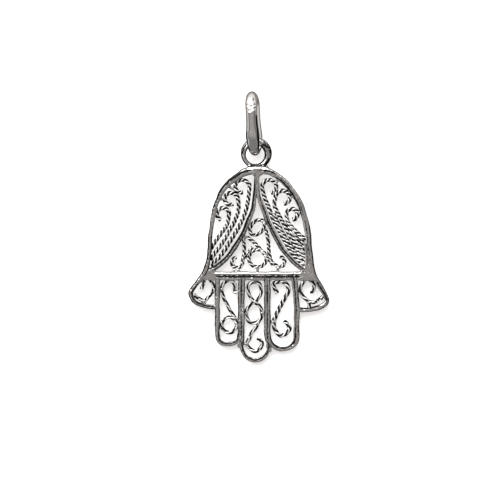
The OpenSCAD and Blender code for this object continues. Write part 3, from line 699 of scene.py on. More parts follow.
def twisted(rows, seed, closed=False, share=1.0, pitch=TWIST_PITCH, cut=1.0,
            darkening=FLANK_SHADE):
    """Strands twisted together and pressed to the filigree's width and height, with grooves that
    wind round it. The lower cut is, the shallower they are. Each point also gets a darkness: in the
    grooves as oxide and painted shade, on the flanks as painted shade."""
    rng = np.random.default_rng(seed)
    path = even_run(np.array(rows) if closed else smooth_run(rows, 12), TWIST_STEP)
    if closed:
        path = path[:-1]
    n = len(path)
    turns = n * TWIST_STEP / pitch
    if closed:
        turns = max(1, round(turns * STRANDS)) / STRANDS
    t = np.arange(n) / n
    wobble, bulge, fade = (
        sum(rng.normal(0, UNSTEADY / math.sqrt(k)) * np.sin(2 * math.pi * (k * t + rng.random()))
            for k in UNSTEADY_WAVES) for _ in range(3))
    phase = -(rng.random() * 2 * math.pi + 2 * math.pi * turns * t + wobble)
    psi = np.arctan2(TWIST_SHAPE[:, 1], TWIST_SHAPE[:, 0])
    away = np.arcsin(np.clip(np.sin(STRANDS / 2 * (psi[None, :] - phase[:, None])), -1, 1))
    groove = np.exp(-((away / (GROOVE_W * STRANDS / 2)) ** 2))
    groove *= np.clip(cut * (1 + FADE_GAIN * fade[:, None]), *GROOVE_RANGE)
    reach = 1 - GROOVE_DEPTH * groove
    width = TWIST_W / 2 * share * (1 + BULGE_GAIN * bulge[:, None])
    rings = placed(path, sideways(path, closed), reach * TWIST_SHAPE[:, 0] * width,
                   MID_H + reach * TWIST_SHAPE[:, 1] * TWIST_H / 2)
    # Painted shade on the flanks, heavier on those that face away from the light
    flank_shade = (darkening * rising(np.abs(TWIST_SHAPE[:, 0]), FLANK_FROM, FLANK_OVER)
             * np.clip(1 - FLANK_SHADE_GAIN * bulge[:, None], *FLANK_RANGE)
             * (1 + SHADE_GAIN * np.outer(sideways(path, closed) @ SHADE_WAY,
                                          np.sign(TWIST_SHAPE[:, 0]))))
    points, faces = skin(rings, closed)
    return points, faces, np.maximum(groove, flank_shade).ravel()


# The petals' wires are a little wider, and the grooves of the right one's pack are shallower. The
# twist is slower in the fingers and thumbs, but less so in the right finger's wider wire, and their
# flanks carry heavier painted shade
BOLD = {"share": 1.12}
PACKED = {**BOLD, "cut": 0.86}
CALM = {"pitch": 3.8, "cut": 0.8, "darkening": 0.45}
BROAD = {**CALM, "share": 1.15, "pitch": 2.4}


def twisted_set(*groups):
    """Several twisted wires as one mesh. A group is its wires' runs and how they are twisted."""
    runs = [(rows, how) for some, how in groups for rows in some]
    made = [twisted(rows, seed=100 + 7 * i, **how) for i, (rows, how) in enumerate(runs)]
    points, faces = joined([m[:2] for m in made])
    return points, faces, np.concatenate([m[2] for m in made])


def left_petal_scrolls():
    return twisted_set((map(scroll_rows, LEFT_SCROLLS), BOLD))


def right_petal_scrolls():
    return twisted_set((map(scroll_rows, RIGHT_SCROLLS), PACKED),
                       (set_out(RIGHT_STRANDS, palm_at), PACKED))


def palm_scrolls():
    rings = [ring_rows(palm_at(c), size, turn) for c, size, turn in (UPPER_RING, LOWER_RING)]
    return twisted_set((rings, {"closed": True}), (map(scroll_rows, (PALM_SLANT, PALM_LEFT)), {}),
                       (set_out((PALM_RIGHT, PALM_TAIL), palm_at), {}))


def finger_scrolls():
    left, middle, right = (functools.partial(finger_at, name) for name in FINGERS)
    ring = ring_rows(left(LEFT_FINGER_RING[0]), *LEFT_FINGER_RING[1:])
    return twisted_set((set_out([LEFT_FINGER_SCROLL], left), CALM),
                       ([ring], {"closed": True, **CALM}),
                       (set_out((MIDDLE_EIGHT, MIDDLE_HOOK), middle), CALM),
                       (set_out([RIGHT_FINGER_SCROLL], right), BROAD))


def thumb_scrolls():
    return twisted_set((set_out((LEFT_THUMB_SCROLL, LEFT_THUMB_STRAND), left_thumb_at), CALM),
                       (set_out((RIGHT_THUMB_SCROLL, RIGHT_THUMB_STRAND), right_thumb_at), CALM))


# ---- The pose: the hand tipped onto the bail, and the bail on its edge ----

# Where the middle finger touches the ground, the line from there to where the right one does,
# and the way across it to the top of the loop
FINGER_TIP = finger_end("middle", TOUCH_ANGLE)
TIP_LINE = finger_end("right", TOUCH_ANGLE) - FINGER_TIP
TIP_LINE /= np.linalg.norm(TIP_LINE)
TIP_ACROSS = np.array([-TIP_LINE[1], TIP_LINE[0]])
LOOP_TOP = LOOP_CENTRE + [0, LOOP_HOLE_R + LOOP_WIRE_W / 2]
LOOP_REACH = (LOOP_TOP - FINGER_TIP) @ TIP_ACROSS
LOOP_ALONG = (LOOP_TOP - FINGER_TIP) @ TIP_LINE

# The radius of the bail's bends. The band's thickness at the lower one and at its edges, as shares
# of the full thickness. The sides of the loop wire in the solids
BEND_R = BAIL_D / 2
LOWER_T, BAND_EDGE = 0.82, 0.12
CAD_FRAME_SIDES = 8
LEAN = math.radians(BAIL_LEAN)
# How the loop's wire sits in the lower bend, and the heights at which the two rest
BEND_TO_LOOP = BEND_R - LOWER_T * BAIL_T - BAIL_PLAY - LOOP_WIRE_W / 2
SEAT_R = BEND_R - BAIL_T - LOOP_WIRE_W / 2 / math.cos(math.pi / CAD_FRAME_SIDES) - SEAT_GAP
BAIL_Z = ((BEND_R - (1 - BAND_EDGE) * BAIL_T) * math.cos(LEAN)
          + math.hypot(BAIL_W / 2 * math.sin(LEAN), (1 - BAND_EDGE) * BAIL_T * math.cos(LEAN)))
LOOP_Z = (BAIL_Z + BAIL_W / 2 * math.sin(LEAN)
          - math.sqrt(max(0, SEAT_R**2 - max(0, BEND_TO_LOOP) ** 2)))
TIP_ANGLE = math.asin(LOOP_Z / math.hypot(LOOP_REACH, MID_H)) - math.atan2(MID_H, LOOP_REACH)
LOOP_SEAT = (FINGER_TIP + TIP_LINE * LOOP_ALONG
             + TIP_ACROSS * (LOOP_REACH * math.cos(TIP_ANGLE) - MID_H * math.sin(TIP_ANGLE)))
# The length of the bail's straight sides
STRAIGHT = BAIL_L - BAIL_D

# The outermost places of the whole, and the middle between them
LEFT_END = left_thumb_at(LEFT_THUMB_SIDE[THUMB_TIP])[0] - FRAME_W / 2
RIGHT_END = right_thumb_at(RIGHT_THUMB_SIDE[THUMB_TIP])[0] + FRAME_W / 2
LOW_END = -MIDDLE_FINGER_L - FRAME_W * FINGERS["middle"]["widths"][1] / 2
HIGH_END = LOOP_SEAT[1] + BEND_TO_LOOP + STRAIGHT + BEND_R
MIDDLE = np.array([(LEFT_END + RIGHT_END) / 2, (LOW_END + HIGH_END) / 2, 0])


def turned(points, axis, angle):
    """Points turned about a unit axis through the origin."""
    k = np.array(axis, float)
    c, s = math.cos(angle), math.sin(angle)
    return points * c + np.cross(k, points) * s + np.outer(points @ k, k) * (1 - c)


def hand_pose(points):
    """The hand tipped about its fingertips until its loop rests on the bail."""
    at_tip = points - [*FINGER_TIP, 0]
    return turned(at_tip, (*TIP_LINE, 0), TIP_ANGLE) + [*FINGER_TIP, 0] - MIDDLE


def bail_pose(points):
    """The bail leaning on its edge, in the top loop."""
    p = turned(points + [0, BEND_TO_LOOP, 0], (0, 1, 0), -LEAN)
    p = turned(p, (0, 0, 1), math.radians(BAIL_TURN))
    return p + [LOOP_SEAT[0] - BAIL_LEFT, LOOP_SEAT[1], BAIL_Z] - MIDDLE


# ---- The bail ----

# Shares of the band's width and thickness, by height up the bail from its lower bend
BAND_WIDTHS = [(0, 0.66), (0.01, 0.71), (0.04, 0.8), (0.09, 0.87), (0.16, 0.92), (0.3, 1),
               (0.39, 0.94), (0.48, 0.86), (0.62, 0.83), (0.86, 0.9), (1, 0.87)]
BAND_THICKNESSES = [(0, LOWER_T), (0.3, 1), (1, 1)]
# The band's outer face is flatter than a half circle, the higher the squarer. Its inner face
# is dished, by a share of its thickness, and has points at these places across it
FACE_POWERS = [(0, 2.2), (0.08, 3.2), (0.3, 4), (0.42, 3.2), (0.7, 3), (0.92, 2.2), (1, 2)]
DISH, INNER_PLACES = 0.3, [-0.94, -0.8, -0.6, -0.3, 0, 0.3, 0.6, 0.8, 0.94]
# Painted shade: the dark line down the front's right edge, where the band turns from the light. The
# heights up the bail between which it runs, and where across the face it starts
EDGE_FROM, EDGE_TO, EDGE_START = 0.04, 0.68, 0.7
# The height of the waist, under which the left edge has painted shade too, where it starts and how
# dark
WAIST, LEFT_START, LEFT_DARK = 0.42, 0.6, 0.62
# Over how far these lines fade in across the face, at their lower ends and at the upper one
ACROSS_FADE, LOWER_FADE, UPPER_FADE = 0.1, 0.05, 0.1
# Small dents across the front: the middle height of them, their reach up and down and depth, and
# their waves, by length in mm, slant and shift
DENTS_AT, DENTS_REACH, DENTS_DEPTH = 0.755, 0.08, 0.12
DENT_WAVES = [(0.62, 0.7, 0), (0.41, -0.8, 0.3)]
# A dark speck near the top: its height and its place across the face, its size by each, how dark
SPECK, SPECK_SIZE, SPECK_DARK = (0.88, 0.42), (0.065, 0.33), 0.62
# How far forward a part of the band has to face to count as its front
FRONT_OVER = 0.2
# The steps of the mesh round each bend, up each side and across the outer face
BEND_STEPS, SIDE_STEPS, FACE_STEPS = 120, 47, 28


def softened(values, rounds=8):
    """A ring of numbers with its corners smoothed."""
    for _ in range(rounds):
        values = (np.roll(values, 1) + 2 * values + np.roll(values, -1)) / 4
    return values


def by_height(share, table):
    """A table's value at each height up the bail, with no sudden changes."""
    return softened(np.interp(share, *zip(*table)))


def bail_stations():
    """How far up the bail from its lower bend's centre each station of the band is, and which way
    the band faces there. A quarter turn is to the front."""
    bend = np.linspace(-90, 90, BEND_STEPS + 1)
    rise = np.linspace(0, 1, SIDE_STEPS + 1)[1:-1]
    stations = ([(STRAIGHT + BEND_R * math.cos(math.radians(a)), a) for a in bend]
                + [(STRAIGHT * (1 - k), 90) for k in rise]
                + [(BEND_R * math.cos(math.radians(a)), a) for a in bend + 180]
                + [(STRAIGHT * k, 270) for k in rise])
    y, a = np.array(stations).T
    return y, np.radians(a)


def bail_dents(y, share, face_x):
    """How deep the dents are, across the face at each station."""
    near = np.clip(1 - np.abs(share - DENTS_AT) / DENTS_REACH, 0, 1)
    wavy = sum(np.sin(2 * math.pi * (y[:, None] / length + slant * face_x + shift))
               for length, slant, shift in DENT_WAVES)
    return DENTS_DEPTH * near[:, None] * (2 + wavy) / 4


def bail_shade_and_speck(share, face_x):
    """How dark the front's painted edge shade and its speck are, across the face at each station.
    """
    reach = rising(share, EDGE_FROM, LOWER_FADE) * rising(-share, -EDGE_TO, UPPER_FADE)
    edge = rising(face_x, EDGE_START, ACROSS_FADE) * reach[:, None]
    lower = rising(-share, -WAIST, LOWER_FADE)
    edge += LEFT_DARK * rising(-face_x, LEFT_START, ACROSS_FADE) * lower[:, None]
    speck = SPECK_DARK * np.exp(-((share[:, None] - SPECK[0]) / SPECK_SIZE[0]) ** 2
                                - ((face_x - SPECK[1]) / SPECK_SIZE[1]) ** 2)
    return np.maximum(edge, speck)


def bail_band():
    """An oval ring of band, domed outside and dished inside, with painted shade on its front's
    edges and a dark speck.
    """
    y, a = bail_stations()
    share = (y + BEND_R) / BAIL_L
    w = BAIL_W * by_height(share, BAND_WIDTHS)
    t = BAIL_T * by_height(share, BAND_THICKNESSES)
    round_a = np.radians(np.linspace(0, 180, FACE_STEPS + 1))
    power = 2 / by_height(share, FACE_POWERS)[:, None]
    face_x = np.sign(np.cos(round_a)) * np.abs(np.cos(round_a)) ** power
    face_up = np.sin(round_a).clip(0) ** power
    inner = np.array(INNER_PLACES) * np.ones((len(y), 1))
    x = w[:, None] * np.hstack([face_x, inner]) / 2
    d = t[:, None] * np.hstack([(1 - BAND_EDGE) * (1 - face_up), 1 - DISH * (1 - inner**2)])
    front = (np.sin(a) > FRONT_OVER)[:, None]
    d[:, :face_x.shape[1]] += bail_dents(y, share, face_x) * front
    # Painted shade on the front's edges, and the dark speck
    dark = np.hstack([bail_shade_and_speck(share, face_x) * front, np.zeros_like(inner)])
    rings = np.stack([x, y[:, None] - np.cos(a)[:, None] * d,
                      np.sin(a)[:, None] * (BEND_R - d)], axis=-1)
    return *skin(rings, closed=True), dark.ravel()


# ---- Node groups: effects that the silver finishes share ----


def new_group(name, inputs, outputs):
    """A node group with its named sockets, and the nodes at its two ends."""
    group = bpy.data.node_groups.new(name, "ShaderNodeTree")
    for label, kind, value in inputs:
        socket = group.interface.new_socket(label, in_out="INPUT", socket_type=kind)
        if value is not None:
            socket.default_value = value
    for label, kind in outputs:
        group.interface.new_socket(label, in_out="OUTPUT", socket_type=kind)
    return group, group.nodes.new("NodeGroupInput"), group.nodes.new("NodeGroupOutput")


def plugged(tree, node, values):
    """The node, with each of its inputs fed by a value or by another node's output. An input is
    named with _ for a space, or numbered as i0, i1 and so on."""
    for key, value in values.items():
        numbered = key[0] == "i" and key[1:].isdigit()
        socket = node.inputs[int(key[1:]) if numbered else key.replace("_", " ")]
        if isinstance(value, bpy.types.NodeSocket):
            tree.links.new(value, socket)
        else:
            socket.default_value = value
    return node


def put(tree, kind, settings=None, **values):
    """A new node with its settings and its inputs."""
    node = tree.nodes.new(kind)
    for key, value in (settings or {}).items():
        setattr(node, key, value)
    return plugged(tree, node, values)


def math_node(tree, operation, a, b, clamp=False):
    """A calculation with two values."""
    return put(tree, "ShaderNodeMath", {"operation": operation, "use_clamp": clamp},
               i0=a, i1=b).outputs[0]


def ramp(tree, value, low, high, to_low=0.0, to_high=1.0):
    """A soft step: to_low under low, to_high over high."""
    return put(tree, "ShaderNodeMapRange", {"interpolation_type": "SMOOTHSTEP"}, Value=value,
               From_Min=low, From_Max=high, To_Min=to_low, To_Max=to_high).outputs[0]


def mixed(tree, share, a, b):
    """Two colours mixed by a share."""
    return put(tree, "ShaderNodeMix", {"data_type": "RGBA"}, i0=share, i6=a, i7=b).outputs[2]


def colour_ramp(tree, value, stops):
    """Colours by a value from 0 to 1, between stops of value and colour."""
    node = put(tree, "ShaderNodeValToRGB", None, i0=value)
    elements = node.color_ramp.elements
    while len(elements) < len(stops):
        elements.new(0.5)
    for element, (at, colour) in zip(elements, stops):
        element.position, element.color = at, (*colour, 1)
    return node.outputs[0]


def tarnish_and_shade_group():
    """Dark tarnish in hollows, and painted shade along wire edges, lines and grooves, as one mask
    with a patchy border.
    """
    g, gin, gout = new_group(
        "Tarnish and painted shade",
        [("Position", "NodeSocketVector", None), ("Hollow", "NodeSocketFloat", 0.0),
         ("Start", "NodeSocketFloat", 0.2), ("Full", "NodeSocketFloat", 0.8),
         ("Patchiness", "NodeSocketFloat", 0.3), ("Patch scale", "NodeSocketFloat", 1500.0)],
        [("Mask", "NodeSocketFloat")])
    noise = put(g, "ShaderNodeTexNoise", None, Vector=gin.outputs["Position"],
                Scale=gin.outputs["Patch scale"], Detail=4.0, Roughness=0.6)
    shift = math_node(g, "MULTIPLY", math_node(g, "SUBTRACT", noise.outputs["Fac"], 0.5),
                      gin.outputs["Patchiness"])
    level = math_node(g, "ADD", gin.outputs["Hollow"], shift)
    mask = ramp(g, level, gin.outputs["Start"], gin.outputs["Full"])
    g.links.new(mask, gout.inputs["Mask"])
    return g


# Which way the polishing scratches run, and how much finer they are along each axis than dents
SCRATCH_TURN, SCRATCH_STRETCH = (0.3, 0.2, 0.6), (1.0, 0.12, 0.5)
# The noise values between which a patch goes from smooth to rough
SMOOTH_UNDER, ROUGH_OVER = 0.35, 0.7


def polish_group():
    """Fine polishing scratches and a slight unevenness: a height and a roughness."""
    g, gin, gout = new_group(
        "Hand polish",
        [("Position", "NodeSocketVector", None), ("Scratch scale", "NodeSocketFloat", 9000.0),
         ("Dent scale", "NodeSocketFloat", 900.0), ("Scratches", "NodeSocketFloat", 0.2),
         ("Dents", "NodeSocketFloat", 0.8), ("Dent stretch", "NodeSocketVector", (1, 1, 1)),
         ("Smooth", "NodeSocketFloat", 0.1), ("Rough", "NodeSocketFloat", 0.3)],
        [("Height", "NodeSocketFloat"), ("Roughness", "NodeSocketFloat")])
    stretch = put(g, "ShaderNodeMapping", None, Vector=gin.outputs["Position"],
                  Rotation=SCRATCH_TURN, Scale=SCRATCH_STRETCH)
    fine = put(g, "ShaderNodeTexNoise", None, Vector=stretch.outputs[0],
               Scale=gin.outputs["Scratch scale"], Detail=3.0)
    drawn = put(g, "ShaderNodeVectorMath", {"operation": "MULTIPLY"},
                i0=gin.outputs["Position"], i1=gin.outputs["Dent stretch"]).outputs[0]
    dents = put(g, "ShaderNodeTexNoise", None, Vector=drawn,
                Scale=gin.outputs["Dent scale"], Detail=2.0)
    height = math_node(g, "ADD",
                       math_node(g, "MULTIPLY", fine.outputs["Fac"], gin.outputs["Scratches"]),
                       math_node(g, "MULTIPLY", dents.outputs["Fac"], gin.outputs["Dents"]))
    g.links.new(height, gout.inputs["Height"])
    patches = put(g, "ShaderNodeTexNoise", None, Vector=drawn,
                  Scale=gin.outputs["Dent scale"], Detail=5.0, Roughness=0.7)
    rough = ramp(g, patches.outputs["Fac"], SMOOTH_UNDER, ROUGH_OVER, gin.outputs["Smooth"],
                 gin.outputs["Rough"])
    g.links.new(rough, gout.inputs["Roughness"])
    return g


TARNISH_AND_SHADE = tarnish_and_shade_group()
POLISH = polish_group()


# How much rougher the silver is where it is fully tarnished or fully painted with shade
DARKENED_ROUGH = 0.25


def new_material(name):
    """A material, its node tree and its shader."""
    material = bpy.data.materials.new(name)
    material.use_nodes = True
    return material, material.node_tree, material.node_tree.nodes["Principled BSDF"]


def silver(name, clean, dark, darkening, polish, bump, metallic=1.0):
    """A silver finish: clean metal, darker where it has tarnished and where shade is painted on.
    Whitened silver, which scatters light like chalk, is less metallic. The bump is its strength and
    its distance."""
    material, tree, shader = new_material(name)
    position = put(tree, "ShaderNodeTexCoord").outputs["Object"]
    # Each point's darkness, from tarnish in crevices and from painted shade along wire edges, lines
    # and grooves
    hollow = put(tree, "ShaderNodeAttribute", {"attribute_name": "hollow"}).outputs["Fac"]
    mask = put(tree, "ShaderNodeGroup", {"node_tree": TARNISH_AND_SHADE}, Position=position, Hollow=hollow,
               **darkening).outputs["Mask"]
    surface = put(tree, "ShaderNodeGroup", {"node_tree": POLISH}, Position=position, **polish)
    rough = math_node(tree, "ADD", surface.outputs["Roughness"],
                      math_node(tree, "MULTIPLY", mask, DARKENED_ROUGH), clamp=True)
    bumped = put(tree, "ShaderNodeBump", None, Height=surface.outputs["Height"],
                 Strength=bump[0], Distance=bump[1])
    plugged(tree, shader, {"Base_Color": mixed(tree, mask, (*clean, 1), (*dark, 1)),
                           "Roughness": rough, "Normal": bumped.outputs[0],
                           "Metallic": metallic})
    return material


def bail_silver():
    """Polished and brushed lengthwise, clean but for its painted shade lines and a dark speck."""
    return silver("bail silver", (0.82, 0.79, 0.775), (0.004, 0.0035, 0.0035),
                  dict(Start=0.3, Full=0.7),
                  dict(Smooth=0.15, Rough=0.19, Dent_scale=1800.0, Dent_stretch=(1, 0.12, 1),
                       Scratches=0.03, Dents=0.5), (0.08, 0.00003))


def frame_silver():
    """Polished on top, with patchy tarnish in its corners and patchy painted shade along its wires'
    seams and edges.
    """
    return silver("frame silver", (0.84, 0.81, 0.79), (0.012, 0.011, 0.011),
                  dict(Start=0.02, Full=0.6, Patchiness=1.6, Patch_scale=4200.0),
                  dict(Smooth=0.08, Rough=0.24), (0.35, 0.00004))


def twisted_silver():
    """Whitened, dark in its grooves with oxide and painted shade, and with painted shade on its
    flanks.
    """
    return silver("twisted silver", (0.97, 0.95, 0.94), (0.004, 0.0035, 0.0035),
                  dict(Start=0.14, Full=0.4, Patchiness=0.4), dict(Smooth=0.2, Rough=0.4),
                  (0.3, 0.00003), metallic=0.65)


# ---- Pieces ----


def add_piece(name, mesh, pose, material, node):
    """A mesh in millimetres becomes a piece of the pendant, in metres and in its pose."""
    # The mesh's third part is each point's darkness: tarnish, painted shade or both
    points, faces, hollow = mesh
    points = pose(points) * MM
    points[:, 2] = np.maximum(points[:, 2], 0)
    data = new_mesh(name, points.tolist(), faces)
    data.attributes.new("hollow", "FLOAT", "POINT").data.foreach_set("value", hollow)
    data.polygons.foreach_set("use_smooth", [True] * len(data.polygons))
    data.materials.append(material)
    data.validate()
    piece = new_object(name, data)
    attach(piece, "root")
    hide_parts(node)


# The spacing of the mesh over each fused frame
PALM_VOXEL, FINGER_VOXEL = 0.054, 0.045
# How wide a painted shade line of depth 1 is and how deep it grooves the top, in millimetres, and
# how wide the shallowest is as a share of that
SHADE_LINE_W, SHADE_LINE_DEPTH, SHALLOW_LINE_W = 0.1, 0.015, 0.4
# How far from a wire's centre line its top reaches, as a share of half its width
TOP_REACH = 1.05
# How uneven the tops are, as a share of each of their waves' length, and those waves' lengths
UNEVEN, UNEVEN_WAVES = 0.0032, np.linspace(0.2, 0.5, 24)
# The height to which solder fills the frame's corners
FILL_TOP = (1 + FILL_LEVEL) / 2 * FRAME_H
# How strongly a bend of the surface counts as hollow, and what a worn edge and a crevice's tarnish
# count for at most; a painted shade line counts as 1
HOLLOW_GAIN, WORN_EDGE, CREVICE = 0.36, -0.1, 0.4
# The height from which the tops are drawn and over how much they set in, as shares of the frame's
TOP_FROM, TOP_OVER = 0.8, 0.08
# How far a fill spreads past its spots and over how much it fades out, in millimetres
FILL_SPREAD, FILL_FADE = 0.08, 0.22


def in_parts(places, work):
    """Works on the places about two thousand at a time, which spares memory."""
    parts = np.array_split(places, max(1, len(places) // 2000))
    return np.concatenate([work(part) for part in parts])


def squared_gaps(xy, spots):
    """The squared distance from each place to each spot."""
    return ((xy[:, None, :] - spots) ** 2).sum(axis=2)


def track_field(xy, tracks):
    """At each place, the height of the wires' tops, how deep in a painted shade line it is and how
    far a bevel lowers it."""
    top, shade_line, drop = np.full(len(xy), -1.0), np.zeros(len(xy)), np.zeros(len(xy))
    for path, shade_lines, bevel, ridge in tracks:
        side = sideways(path, False)
        near = in_parts(xy, lambda part: squared_gaps(part, path[:, :2]).argmin(axis=1))
        here = np.linspace(0, 1, len(path))[near]
        offset = ((xy - path[near, :2]) * side[near]).sum(axis=1)
        half = path[near, 2] / 2
        away = np.hypot(*(xy - path[near, :2]).T)
        height = FRAME_H - half * np.interp(np.abs(offset) / half, *zip(*ridge))
        within = (np.abs(offset) < half) & (away < half * TOP_REACH)
        better = within & (height > top)
        depth = np.zeros(len(xy))
        for rows in shade_lines:
            at, across, deep = np.array(rows).T
            gap = offset - np.interp(here, at, across) * half
            deep = np.interp(here, at, deep, left=0, right=0)
            wide = SHADE_LINE_W * (SHALLOW_LINE_W + (1 - SHALLOW_LINE_W) * deep)
            depth = np.maximum(depth, deep * np.exp(-((gap / wide) ** 2)))
        fall = np.zeros(len(xy))
        if bevel:
            at, *columns = np.array(bevel).T
            line, left, right = (np.interp(here, at, column) for column in columns)
            past = offset - line * half
            fall = left * np.maximum(0, past) + right * np.maximum(0, -past)
        top[better], drop[better] = height[better], fall[better]
        shade_line[within] = np.maximum(shade_line, depth)[within]
    return top, shade_line, drop


def uneven(xy):
    """How far the tops are from smooth, as filed and hammered wire is."""
    rng = np.random.default_rng(40)
    out = np.zeros(len(xy))
    for wave in UNEVEN_WAVES:
        way = 2 * math.pi * rng.random()
        along = xy @ (math.cos(way), math.sin(way))
        out += wave * np.sin(2 * math.pi * (along / wave + rng.random()))
    return UNEVEN * out


# How a loop line wanders across the wire: how far, and over how many degrees. Over how many
# degrees its ends fade. How far across its wire the loop has lines, as a share of half its width
LINE_WANDER, LINE_FADE, LINE_REACH = [(0.05, 6.1), (0.03, 2.7)], 8, 1.1


def loop_shade_lines(points):
    """How deep in one of the loop's painted shade lines each point is, and how far its worn side
    falls.
    """
    dx, dy = (points[:, :2] - LOOP_CENTRE).T
    away, angle = np.hypot(dx, dy), np.degrees(np.arctan2(dy, dx))
    half = loop_width(np.radians(angle)) / 2
    across = away - LOOP_HOLE_R - half
    dark = np.zeros(len(points))
    for first, last, place, last_place, width, depth in LOOP_SHADE_LINES:
        middle, reach = (first + last) / 2, (last - first) / 2
        turn = (angle - middle + 180) % 360 - 180
        fade = rising(-np.abs(turn), -reach, LINE_FADE)
        wander = sum(far * np.sin(angle / wave + start)
                     for (far, wave), start in zip(LINE_WANDER, (first, last)))
        line = place + (last_place - place) * (turn / reach + 1) / 2
        gap = across - (line + wander) * half
        dark = np.maximum(dark, depth * fade * np.exp(-((gap / width) ** 2)))
    on_top = (np.abs(across) < half * LINE_REACH) * (points[:, 2] > MID_H)
    worn = np.clip(WORN_PEAK - np.abs(angle % 360 - WORN_AT) / WORN_REACH, 0, 1)
    fall = WORN_SLOPE * worn * np.maximum(0, across - WORN_FROM * half)
    return dark * on_top, fall * on_top


def filled_share(xy, fills):
    """How far each place is within the solder fills, from 0 outside to 1."""
    inside = np.zeros(len(xy), bool)
    for corners in fills:
        if len(corners) > 2:
            ring = in_turn(corners)
            ahead = np.roll(ring, -1, axis=0) - ring
            past = xy[:, None, :] - ring
            inside |= (ahead[:, 0] * past[:, :, 1] > ahead[:, 1] * past[:, :, 0]).all(axis=1)
    spots = np.vstack([solder_spots(f, FILL_R * FRAME_W) for f in fills])
    away = np.sqrt(in_parts(xy, lambda part: squared_gaps(part, spots).min(axis=1)))
    return np.maximum(inside, rising(-away, -(FILL_R * FRAME_W + FILL_SPREAD), FILL_FADE))


def frame_piece(voxel, tracks, fills, joints, extra=()):
    """Wires and solder fused, with the wires' ridges and shallow grooves drawn on top, tarnish in
    their crevices and painted shade along their lines and round the loop.
    """
    points, faces = fused([frame_wire(t) for t in tracks]
                          + soldered(fills, FILL_LEVEL * FRAME_H, FILL_R * FRAME_W)
                          + soldered(joints, SOLDER_LEVEL * TWIST_H, SOLDER_R) + list(extra),
                          voxel)
    points = relaxed(points, faces)
    hollow = np.clip(hollows(points, faces) * HOLLOW_GAIN / voxel**2, WORN_EDGE, CREVICE)
    top, shade_line, drop = track_field(points[:, :2], tracks)
    upper = rising(points[:, 2], TOP_FROM * FRAME_H, TOP_OVER * FRAME_H) * (top > 0)
    filled = filled_share(points[:, :2], fills)
    ridge = (top + np.maximum(0, FILL_TOP - top) * filled - SHADE_LINE_DEPTH * shade_line
             + uneven(points[:, :2]))
    hollow *= 1 - filled * upper
    points[:, 2] += upper * (ridge - points[:, 2])
    points[:, 2] -= drop * rising(points[:, 2], MID_H, MID_H)
    # The loop's painted shade lines, and how far its worn side falls
    loop_shade, fall = (values * (top < 0) for values in loop_shade_lines(points))
    points[:, 2] -= SHADE_LINE_DEPTH * loop_shade + fall
    # The darkness: tarnish in crevices, and painted shade along the wires' lines and the loop's
    return points, faces, np.maximum(hollow, np.maximum(upper * shade_line, loop_shade))


def make_pendant():
    """The hand's two frames, its five sets of twisted wires and the bail."""
    frame_finish, twist_finish = frame_silver(), twisted_silver()
    frames = {
        "palm_frame": (PALM_VOXEL, palm_tracks(), set_out(SOLDER_FILLS, palm_at),
                       set_out(PALM_JOINTS, palm_at), [top_loop()]),
        "finger_frame": (FINGER_VOXEL, finger_tracks(), finger_fills(), finger_joints()),
    }
    for name, parts in frames.items():
        add_piece(name, frame_piece(*parts), hand_pose, frame_finish, "hand")
    for build in (left_petal_scrolls, right_petal_scrolls, palm_scrolls, finger_scrolls,
                  thumb_scrolls):
        add_piece(build.__name__, build(), hand_pose, twist_finish, "hand")
    add_piece("bail_band", bail_band(), bail_pose, bail_silver(), "bail")


# ---- Floor, light and camera ----


# Painted shade in the silver's reflections: the dark floor that glossy rays see round the pendant,
# for the shade of its own wires
TENT_FLOOR = (0.06, 0.057, 0.054)
# The painted reflection of the floor beside the bail, and of the open floor beyond it. The share of
# the way back at which each begins or ends, and that way's first and last lengths in metres
BAIL_FLOOR, OPEN_FLOOR = (0.3, 0.29, 0.28), (0.95, 0.93, 0.92)
FLOOR_STOPS = [(0, TENT_FLOOR), (0.25, BAIL_FLOOR), (0.75, BAIL_FLOOR), (1, OPEN_FLOOR)]
FLOOR_FROM, FLOOR_TO = 0.0095, 0.021
# Half the floor's width in metres, the warm tint of the light on it and the white paper's values
FLOOR_HALF = 0.6
WARM = (1, 0.975, 0.955)
PAPER = {"Base_Color": (0.93, 0.92, 0.92, 1), "Roughness": 0.8, "Specular_IOR_Level": 0.1,
         "Emission_Color": (*WARM, 1), "Emission_Strength": 0.57}


def make_floor():
    """White paper with an even glow; glossy rays see a painted reflection of it instead, dark as
    painted shade near the pendant, grey by the bail and white further back.
    """
    corners = [(x * FLOOR_HALF, y * FLOOR_HALF, 0) for x, y in ((-1, -1), (1, -1), (1, 1), (-1, 1))]
    data = new_mesh("floor", corners, [(0, 1, 2, 3)])
    material, tree, shader = new_material("white paper")
    plugged(tree, shader, PAPER)
    place = put(tree, "ShaderNodeSeparateXYZ", None,
                i0=put(tree, "ShaderNodeTexCoord").outputs["Object"])
    back = put(tree, "ShaderNodeMapRange", None, Value=place.outputs["Y"], From_Min=FLOOR_FROM,
               From_Max=FLOOR_TO).outputs[0]
    # Painted reflection for glossy rays: a dark floor near the pendant as painted shade, grey by
    # the bail, white further back
    painted_reflection = put(tree, "ShaderNodeEmission", None, Color=colour_ramp(tree, back, FLOOR_STOPS),
                   Strength=1.0)
    glossy = put(tree, "ShaderNodeLightPath").outputs["Is Glossy Ray"]
    seen = put(tree, "ShaderNodeMixShader", None, i0=glossy, i1=shader.outputs[0],
               i2=painted_reflection.outputs[0])
    tree.links.new(seen.outputs[0], tree.nodes["Material Output"].inputs["Surface"])
    data.materials.append(material)
    new_object("floor", data)


# The tent's levels of light by the height of the way to it, from the floor's up to overhead's
TENT_LEVELS = [(0.0, 0.2), (0.3, 0.12), (0.6, 0.08), (0.84, 0.11), (0.93, 0.24), (0.98, 0.31)]
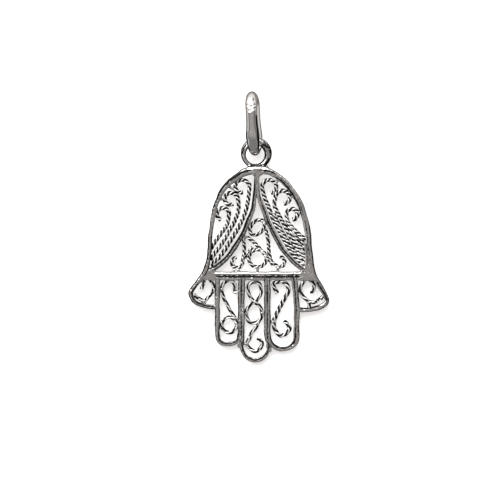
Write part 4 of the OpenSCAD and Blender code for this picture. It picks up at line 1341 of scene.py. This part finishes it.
# Its panels: the axis that they stand along; between which shares of the way each fades in along
# that axis, fades in above its foot and fades out under its top; how white it is
PANELS = [("Y", (-0.2, -0.35), (-0.1, 0.05), (0.93, 0.86), 0.22),
          ("Y", (0.25, 0.4), (-0.1, 0.05), (0.92, 0.86), 1.6),
          ("X", (-0.45, -0.6), (0.1, 0.3), (0.78, 0.7), 0.75),
          ("X", (0.4, 0.6), (0.1, 0.3), (0.75, 0.65), 0.3)]
# What the camera sees beyond the floor
BEYOND = (0.96, 0.955, 0.95, 1)


def make_room():
    """A light tent: grey overhead, dark below that, a white panel behind and dim ones round."""
    world = bpy.data.worlds.new("light tent")
    bpy.context.scene.world = world
    world.use_nodes = True
    tree = world.node_tree
    way = put(tree, "ShaderNodeSeparateXYZ", None,
              i0=put(tree, "ShaderNodeTexCoord").outputs["Generated"]).outputs
    lit = colour_ramp(tree, way["Z"], [(at, [level * tint for tint in WARM])
                                       for at, level in TENT_LEVELS])
    for axis, facing, foot, top, white in PANELS:
        share = math_node(tree, "MULTIPLY", ramp(tree, way[axis], *facing),
                          ramp(tree, way["Z"], *foot))
        share = math_node(tree, "MULTIPLY", share, ramp(tree, way["Z"], *top))
        lit = mixed(tree, share, lit, (white, white, white, 1))
    seen = put(tree, "ShaderNodeLightPath").outputs["Is Camera Ray"]
    tree.links.new(mixed(tree, seen, lit, BEYOND), tree.nodes["Background"].inputs["Color"])


# The key light's power, how wide it looks and how it is tipped, in degrees
KEY_POWER, KEY_SPREAD, KEY_TIP = 2.0, 50, (-32, -16, 0)


def make_key_light():
    """A wide soft light from behind and the left."""
    data = bpy.data.lights.new("key", "SUN")
    data.energy = KEY_POWER
    data.angle = math.radians(KEY_SPREAD)
    new_object("key", data).rotation_euler = [math.radians(a) for a in KEY_TIP]


# The point of the hand's plane under the middle of the picture, the camera's height over it and
# the picture's width, in millimetres
PICTURE_CENTRE, CAMERA_H = (-0.77, 2.805), 120.0
PICTURE_W = 55.0


def make_camera():
    """A camera that looks straight down."""
    data = bpy.data.cameras.new("camera")
    data.type = "ORTHO"
    data.ortho_scale = PICTURE_W * MM
    data.clip_start, data.clip_end = 0.001, 5
    camera = new_object("camera", data)
    camera.location = (np.array([*PICTURE_CENTRE, CAMERA_H]) - MIDDLE) * MM
    bpy.context.scene.camera = camera


make_pendant()
make_floor()
make_room()
make_key_light()
make_camera()
bpy.context.scene.view_settings.view_transform = "Standard"
